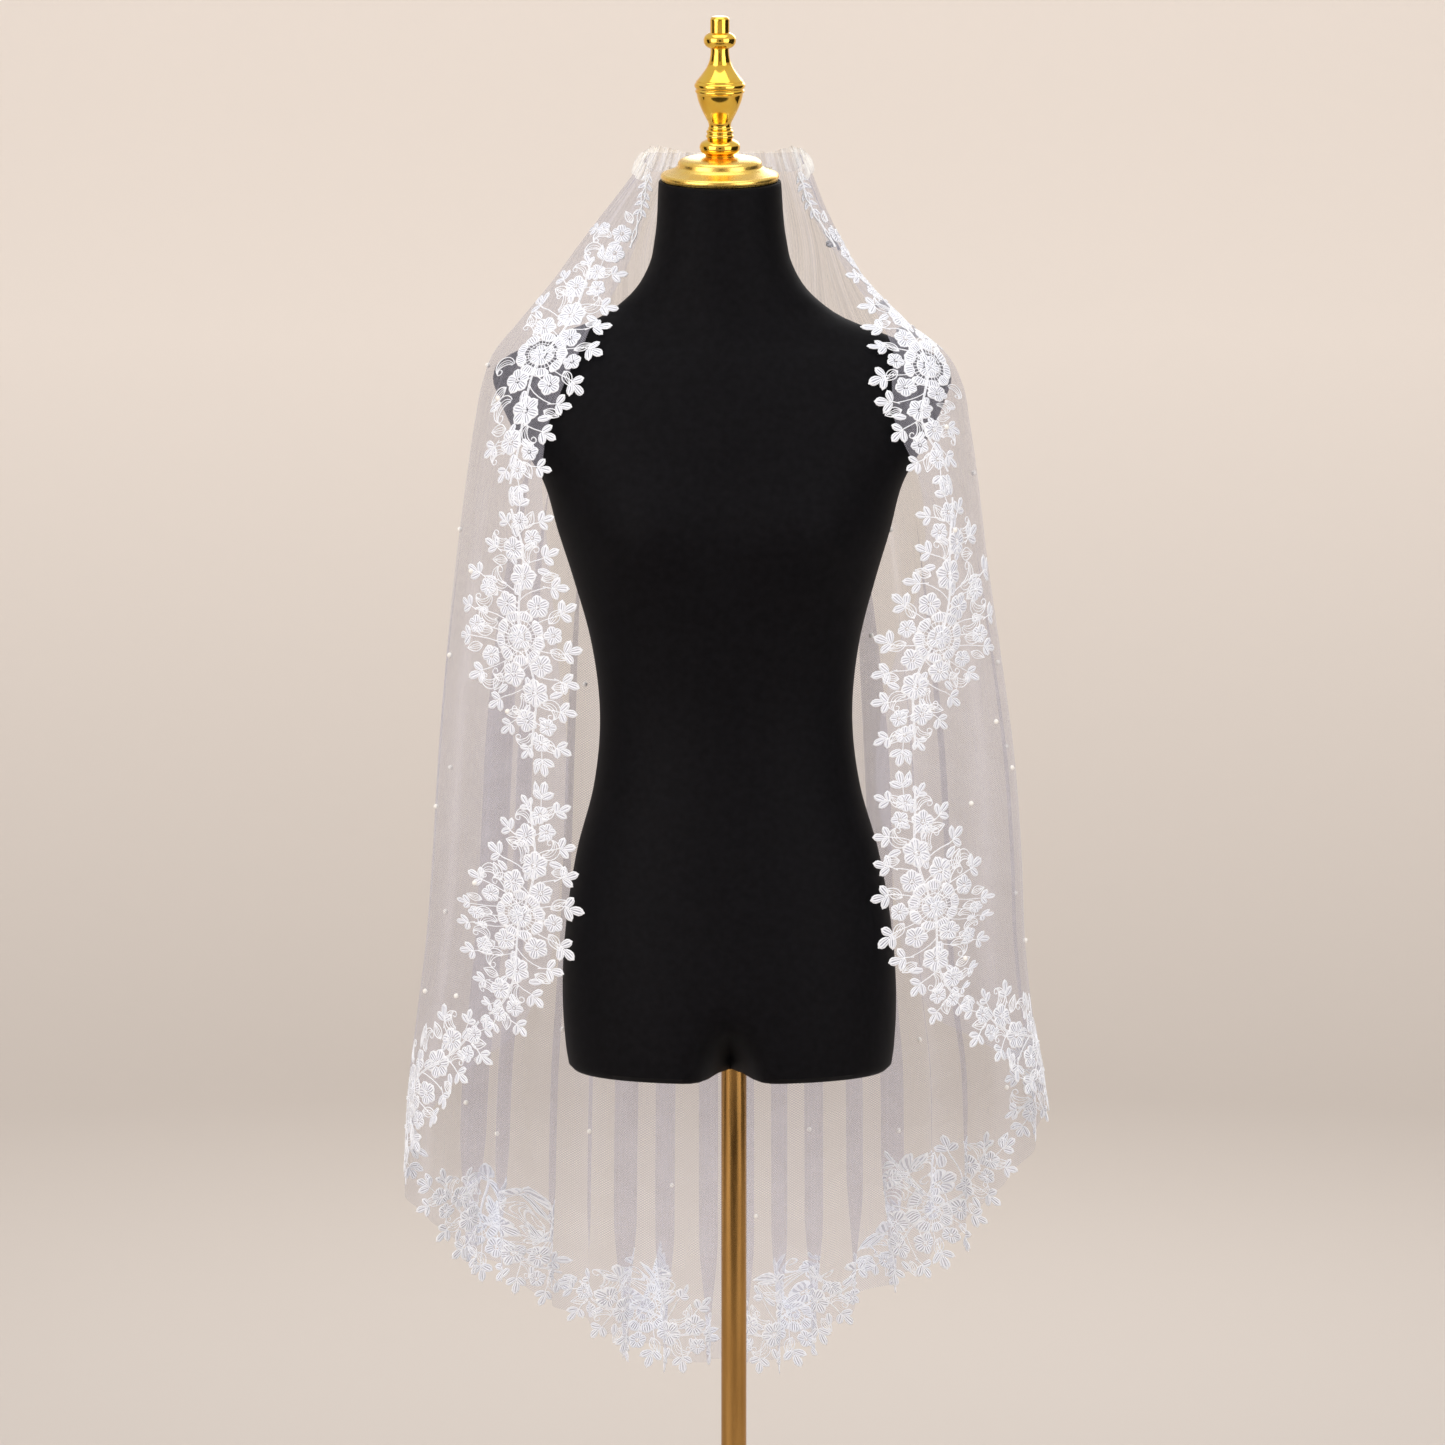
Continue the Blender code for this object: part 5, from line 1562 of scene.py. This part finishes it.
@dataclass
class LaceBorder:
    """The lace along both fronts and the hem, and its trims at the heading."""

    border: Border
    finish: LaceFinish = LaceFinish()
    repeat: float = 240.0
    gap: float = 4 * MM
    lift: float = 0.50 * MM
    hem_reach: float = 0.50
    flat_from: float = 0.80
    flat_to: float = 1.25
    leaf_pitch: float = 8.5
    trim_bloom: float = 30.0

    def spray_mesh(self, slender: bool) -> bpy.types.Mesh:
        """Return one flat repeat of the lace."""
        figures = [f for f in FIGURES if not slender or f.inward < SLENDER_BREADTH]
        drawing = LaceDrawing()
        for figure in figures:
            drawing.figure(figure)
        drawing.stems(figures, self.repeat)
        return drawing.mesh("flat_spray")

    def trim_mesh(self, length: float) -> bpy.types.Mesh:
        """Return the narrow flat trim: twin cords with pairs of small leaves."""
        drawing = LaceDrawing(cord_radius=0.75)
        count = int((length - self.trim_bloom) / self.leaf_pitch)
        for i in range(count):
            for side in (-1, 1):
                drawing.figure(Figure(Kind.LEAF, (i + 0.4) * self.leaf_pitch, 3.6, 9.5,
                                      side * (40 + 9 * (i % 2))))
        for side in (-0.9, 0.9):
            drawing.cord([(x, 3.6 + side * (1 + 0.8 * math.sin(x / 3.1)))
                          for x in np.linspace(1, length, 44)], drawing.cord_radius)
        for figure in (Figure(Kind.BLOSSOM, length - 11, 15, 10, 20),
                       Figure(Kind.BLOSSOM, length + 10, 15, 10, 50),
                       Figure(Kind.BLOSSOM, length - 13, 35, 8.5, 15),
                       Figure(Kind.TRIPLET, length - 14, 42, 18, 95),
                       Figure(Kind.SCROLL, length - 3, 24, 21, 66),
                       Figure(Kind.SCROLL, length + 12, 28, 20, 60),
                       Figure(Kind.LEAF, length - 2, 14, 12, 60),
                       Figure(Kind.OPEN_LEAF, length - 24, 8, 14, 140)):
            drawing.figure(figure)
        return drawing.mesh("flat_trim")

    def laid(self, name: str, node: str, flat: bpy.types.Mesh, start: float, length: float,
             scale: float, back_to_front: bool, material: bpy.types.Material) -> bpy.types.Object:
        """Lay a flat drawing along the edge.

        Args:
            name: The piece's name.
            node: The solid that it replaces.
            flat: The drawing.
            start: Where it starts along the edge.
            length: How much of the edge it takes.
            scale: Its scale along and inward.
            back_to_front: Whether it runs the other way.
            material: The thread's material.

        Returns:
            The piece.
        """
        mesh = flat.copy()
        places = mesh_places(mesh)
        along = places[:, 0] * MM * scale
        if back_to_front:
            along = length - along
        laid = self.border.lay(start + along, places[:, 1] * MM * scale,
                               self.lift + places[:, 2] * MM)
        mesh.vertices.foreach_set("co", laid.ravel())
        if not back_to_front:
            mesh.flip_normals()
        mesh.update()
        mesh.shade_smooth()
        mesh.set_sharp_from_angle(angle=math.radians(80))
        return set_piece(name, mesh, material, "white_lace", node, gauzy=True)

    def build(self) -> list[bpy.types.Object]:
        """Build the twelve sprays and the two trims.

        Returns:
            The pieces.
        """
        material = self.finish.material()
        border = self.border
        full, slender = self.spray_mesh(False), self.spray_mesh(True)
        length = border.pitch - self.gap
        pieces = []
        for i in range(border.count):
            start = border.trim_length + i * border.pitch
            from_back = abs(start + length / 2 - border.length / 2)
            broad = from_back < self.hem_reach or self.flat_from < from_back < self.flat_to
            flat = full if broad else slender
            pieces.append(self.laid(f"lace_spray_{i + 1:02d}", f"lace_{i + 1:02d}", flat, start,
                                    length, length / (self.repeat * MM), i % 2 == 1, material))
        trim = border.trim_length - 2 * self.gap
        flat = self.trim_mesh(trim / MM)
        pieces.append(self.laid("heading_trim_left", "trim_left", flat, self.gap, trim, 1.0, False,
                                material))
        pieces.append(self.laid("heading_trim_right", "trim_right", flat,
                                border.length - trim - self.gap, trim, 1.0, True, material))
        return pieces


# Tulle, pearls, comb and band


@dataclass
class Veil:
    """The tulle and its pearls."""

    grid: ClothGrid
    tulle_finish: TulleFinish = TulleFinish()
    pearl_finish: PearlFinish = PearlFinish()
    sheet_offset: float = 0.5 * MM
    flat_width: float = 1.30
    flat_length: float = 1.12
    flat_area: float = 1.22
    pearl_radius: float = 2.4 * MM
    pearl_rows: int = 11
    pearl_gaps: int = 7
    pearl_reach: float = 0.92
    seed: int = 11

    def tulle(self) -> bpy.types.Object:
        """Build the tulle, with the net's flat places as its UV.

        It is one face thick, because a view ray passes only seven clear faces.
        """
        grid = self.grid
        mesh, flat = grid_mesh("tulle_panel", grid.columns, grid.rows)
        column = np.rint((flat[:, 0] + 1) / 2 * grid.columns).astype(int) + 2
        row = np.rint((1 - flat[:, 1]) / 2 * grid.rows).astype(int)
        places = grid.points[row, column] + self.sheet_offset * grid.outward[row, column]
        hang_grid(mesh, places, np.stack([grid.across[column] * self.flat_width / 2,
                                          grid.down[row] * self.flat_length], axis=1))
        return set_piece("tulle_panel", mesh, self.tulle_finish.material(), "ivory_tulle",
                         "veil_tulle", gauzy=True)

    def pearls(self) -> bpy.types.Object:
        """Build the pearls, scattered in staggered rows over the tulle."""
        chance = random.Random(self.seed)
        bm = bmesh.new()
        for i in range(1, self.pearl_rows):
            down = 0.12 + 0.84 * i / self.pearl_rows
            shift = 0.5 if i % 2 else 0.0
            for k in range(self.pearl_gaps + (0 if shift else 1)):
                across = self.pearl_reach * (2 * (k + shift) / self.pearl_gaps - 1)
                across = min(0.94, max(-0.94, across + chance.uniform(-0.06, 0.06)))
                lift = self.sheet_offset + 0.4 * MM
                place = self.grid.at(np.array([across]),
                                     np.array([down + chance.uniform(-0.03, 0.03)]), lift)[0]
                bmesh.ops.create_uvsphere(bm, u_segments=14, v_segments=9, radius=self.pearl_radius,
                                          matrix=Matrix.Translation(place))
        return finish_piece("pearls", bm, self.pearl_finish.material(), "white_lace")


@dataclass
class Heading:
    """The clear comb, the ruched band that holds the gathers to it, and the frill above."""

    comb_finish: CombFinish = CombFinish()
    band_finish: GatheredTulleFinish = GatheredTulleFinish(name="ruched_band", thin=1.0, dense=1.0)
    frill_finish: GatheredTulleFinish = GatheredTulleFinish()
    centre_x: float = -12.4 * MM
    comb_radius: float = 76 * MM
    back_y: float = 58.6 * MM
    top_z: float = 1.494
    teeth: int = 19
    pitch: float = 5.2 * MM
    tooth_length: float = 34 * MM
    thickness: float = 1.6 * MM
    spine_height: float = 5 * MM
    band_height: float = 9 * MM
    band_wall: float = 0.5 * MM
    ruche_height: float = 0.7 * MM
    seam_gap: float = 0.3 * MM
    ruches: int = 34
    pleats: int = 38
    frill_reach: float = 0.985
    frill_drop: float = 0.016
    frill_rise: float = 4.0 * MM
    frill_width: float = 0.26
    frill_cut: float = 25 * MM
    frill_columns: int = 420
    frill_rows: int = 8
    side_puff: float = 4.5
    end_droop: float = 2 * MM

    def on_arc(self, along: np.ndarray, depth: float) -> tuple[np.ndarray, np.ndarray]:
        """Return x and y on the comb's arc, depth outside its inner face."""
        turn = along / self.comb_radius
        radius = self.comb_radius + depth
        return (self.centre_x + radius * np.sin(turn),
                self.back_y - self.comb_radius + radius * np.cos(turn))

    def comb(self) -> bpy.types.Object:
        """Build the comb: a rounded spine with tapered teeth."""
        half = self.pitch * (self.teeth - 0.5) / 2
        middle = self.thickness / 2
        paths, radii = [], []
        for height in (0.8, 2.4, 4.0):
            spine = [(*self.on_arc(s, middle), self.top_z - height * MM - 0.1 * MM)
                     for s in np.linspace(-half, half, 40)]
            paths.append(spine)
            radii.append(0.8 * MM)
        mesh = tubes(paths, radii, 2)
        bm = bmesh.new()
        bm.from_mesh(mesh)
        for i in range(self.teeth):
            along = -half + self.pitch * (i + 0.25)
            x, y = self.on_arc(along, middle)
            top = self.top_z - self.spine_height + 1.0 * MM
            made = bmesh.ops.create_cone(
                bm, cap_ends=True, segments=10, radius1=0.45 * MM, radius2=0.8 * MM,
                depth=self.tooth_length,
                matrix=Matrix.Translation((x, y, top - self.tooth_length / 2)))
            tip = [v for v in made["verts"] if v.co.z < top - self.tooth_length / 2]
            bmesh.ops.bevel(bm, geom=list({e for v in tip for e in v.link_edges
                                           if all(o in tip for o in e.verts)}),
                            offset=0.25 * MM, segments=2, profile=0.5, affect="EDGES", material=-1)
        bmesh.ops.recalc_face_normals(bm, faces=bm.faces)
        return finish_piece("hair_comb", bm, self.comb_finish.material(), "clear_comb", "comb")

    def band(self) -> bpy.types.Object:
        """Build the band as a ruched strip along the comb's spine."""
        half = self.pitch * (self.teeth - 0.5) / 2
        inner = self.thickness + self.seam_gap
        bm = bmesh.new()
        bmesh.ops.create_grid(bm, x_segments=150, y_segments=8, size=1)
        for vert in bm.verts:
            along, level = vert.co.x * half, vert.co.y
            ruche = 0.5 + 0.5 * math.cos(math.pi * self.ruches * vert.co.x + 0.7 * level)
            depth = inner + 0.2 * MM + self.ruche_height * ruche * (1 - level * level * 0.5)
            x, y = self.on_arc(along, depth)
            vert.co = (x, y, self.top_z + 2 * MM + (level - 1) * self.band_height / 2)
        bmesh.ops.recalc_face_normals(bm, faces=bm.faces)
        bmesh.ops.solidify(bm, geom=bm.faces, thickness=-self.band_wall)
        bmesh.ops.recalc_face_normals(bm, faces=bm.faces)
        return finish_piece("gather_band", bm, self.band_finish.material(), "ivory_tulle",
                            "heading_band")

    def frill(self, grid: ClothGrid) -> bpy.types.Object:
        """Build the ruffle that the gathered top edge of the hung cloth makes."""
        mesh, flat = grid_mesh("heading_frill", self.frill_columns, self.frill_rows)
        across, level = flat[:, 0] * self.frill_reach, (flat[:, 1] + 1) / 2
        ends = smooth_step(1 - np.abs(flat[:, 0]), 0.0, 0.10)
        wander = np.sin(9.1 * across) + 0.6 * np.sin(23.0 * across + 1.0)
        pleats = 0.5 + 0.5 * np.cos(math.pi * self.pleats * (across + 1) + 1.5 * wander
                                    + 0.8 * level)
        puff = np.sin(math.pi * np.clip(level * 0.9 + 0.1, 0, 1))
        sides = (smooth_step(np.abs(across), 0.25, 0.5)
                 * (1 - smooth_step(np.abs(across), 0.62, 0.95)))
        offset = (0.5 + (0.4 + (0.8 + self.side_puff * sides) * puff * ends) * pleats) * MM
        places = grid.at(across, (1 - level) * self.frill_drop, offset)
        rise = self.frill_rise * (0.35 + sides + 0.2 * np.sin(31 * across + 2 * wander)) * ends
        places[:, 2] += rise * smooth_step(level, 0.25, 1.0)
        places[:, 2] -= self.end_droop * smooth_step(np.abs(across), 0.72, 1.0) * level
        hang_grid(mesh, places, np.stack([across * self.frill_width / 2,
                                          level * self.frill_cut], axis=1))
        return set_piece("heading_frill", mesh, self.frill_finish.material(), "ivory_tulle",
                         gauzy=True)


# Studio


@dataclass
class Studio:
    """The round pale backdrop, the soft lights and the camera."""

    paper: StudioFinish = StudioFinish()
    room_radius: float = 6.4
    sweep: float = 2.2
    wall_height: float = 4.6
    eye: tuple = (-0.0101, -3.3, 1.21)
    aim_z: float = 1.006
    focal_px: float = 3750.0
    frame_px: float = 1445.0
    sensor: float = 36.0

    def flag(self, name: str, place: tuple, size: tuple, turn: float, tilt: float = 90) -> None:
        """Stand a dark cloth that only the metal mirrors."""
        bm = bmesh.new()
        bmesh.ops.create_grid(bm, x_segments=1, y_segments=1, size=0.5)
        upright = (Matrix.Translation(place) @ Matrix.Rotation(math.radians(turn), 4, "Z")
                   @ Matrix.Rotation(math.radians(tilt), 4, "X") @ Matrix.Diagonal((*size, 1, 1)))
        bmesh.ops.transform(bm, matrix=upright, verts=bm.verts)
        mesh = mesh_of(name, bm)
        shader = Shader(name)
        shader.set(Base_Color=(0.02, 0.018, 0.016, 1), Roughness=0.9)
        mesh.materials.append(shader.material)
        thing = bpy.data.objects.new(name, mesh)
        thing.visible_camera = thing.visible_diffuse = thing.visible_shadow = False
        thing.visible_transmission = False
        bpy.context.collection.objects.link(thing)

    def backdrop(self) -> None:
        """Spin the floor, its sweep and the wall."""
        profile = ([(0, -0.0002), (self.room_radius - self.sweep, -0.0002)]
                   + arc((self.room_radius - self.sweep, self.sweep), self.sweep, -84, 0, 14)
                   + [(self.room_radius, self.wall_height)])
        bm = spun(profile, 96)
        for face in bm.faces:
            face.normal_flip()
        mesh = mesh_of("backdrop", bm)
        mesh.shade_smooth()
        mesh.materials.append(self.paper.material())
        thing = bpy.data.objects.new("backdrop", mesh)
        bpy.context.collection.objects.link(thing)

    def light(self, name: str, place: tuple, aim: tuple, size: tuple, power: float,
              colour: tuple) -> None:
        """Hang one soft box."""
        lamp = bpy.data.lights.new(name, "AREA")
        lamp.shape = "RECTANGLE"
        lamp.size, lamp.size_y = size
        lamp.energy = power
        lamp.color = colour
        thing = bpy.data.objects.new(name, lamp)
        thing.location = place
        thing.rotation_euler = (Vector(aim) - Vector(place)).to_track_quat("-Z", "Y").to_euler()
        bpy.context.collection.objects.link(thing)

    def lights(self) -> None:
        """Hang the soft boxes and set the ambient light."""
        self.light("key", (-2.9, -3.0, 1.9), (0, 0, 1.1), (3.0, 3.4), 84, (1.0, 0.985, 0.97))
        self.light("fill", (3.1, -2.8, 1.8), (0, 0, 1.0), (3.0, 3.4), 64, (0.97, 0.985, 1.0))
        self.light("top", (0, -0.8, 4.3), (0, 0, 0.9), (3.4, 2.4), 34, (1, 1, 1))
        self.light("wall", (0, 1.6, 3.9), (0, 6.0, 1.8), (4.0, 1.2), 95, (1, 0.99, 0.98))
        self.light("back", (0.6, 2.4, 2.7), (0, 0, 1.1), (1.8, 1.2), 20, (1, 1, 1))
        self.flag("front_flag", (0.15, -5.4, 1.3), (1.3, 2.6), 0)
        self.flag("floor_flag", (0, -1.5, 0.3), (2.2, 1.5), 0, 20)
        self.flag("left_flag", (-3.6, 0.1, 1.3), (1.6, 2.6), 90)
        self.flag("right_flag", (3.4, 0.5, 1.3), (4.0, 3.0), 90)
        world = bpy.data.worlds.new("studio")
        world.use_nodes = True
        background = world.node_tree.nodes["Background"]
        background.inputs["Color"].default_value = (1.0, 0.985, 0.97, 1)
        background.inputs["Strength"].default_value = 0.66
        bpy.context.scene.world = world

    def camera(self) -> None:
        """Set the camera at the photo's angle."""
        data = bpy.data.cameras.new("camera")
        data.sensor_width = self.sensor
        data.lens = self.sensor * self.focal_px / self.frame_px
        thing = bpy.data.objects.new("camera", data)
        thing.location = self.eye
        direction = Vector((self.eye[0], 0, self.aim_z)) - Vector(self.eye)
        thing.rotation_euler = direction.to_track_quat("-Z", "Y").to_euler()
        bpy.context.collection.objects.link(thing)
        bpy.context.scene.camera = thing

    def build(self) -> None:
        """Build the studio."""
        self.backdrop()
        self.lights()
        self.camera()
        bpy.context.scene.view_settings.view_transform = "Standard"


def main() -> None:
    """Build every piece and report it."""
    logging.basicConfig(level=logging.INFO, format="%(name)s: %(message)s")
    Studio().build()
    form = DressForm().build()
    Stand().build()
    grid = ClothGrid(Drape(), form)
    veil = Veil(grid)
    tulle = veil.tulle()
    heading = Heading()
    band = heading.band()
    frill = heading.frill(grid)
    heading.comb()
    lace = LaceBorder(Border(grid)).build()
    pearls = veil.pearls()
    bpy.context.view_layer.update()


if __name__ == "__main__":
    main()
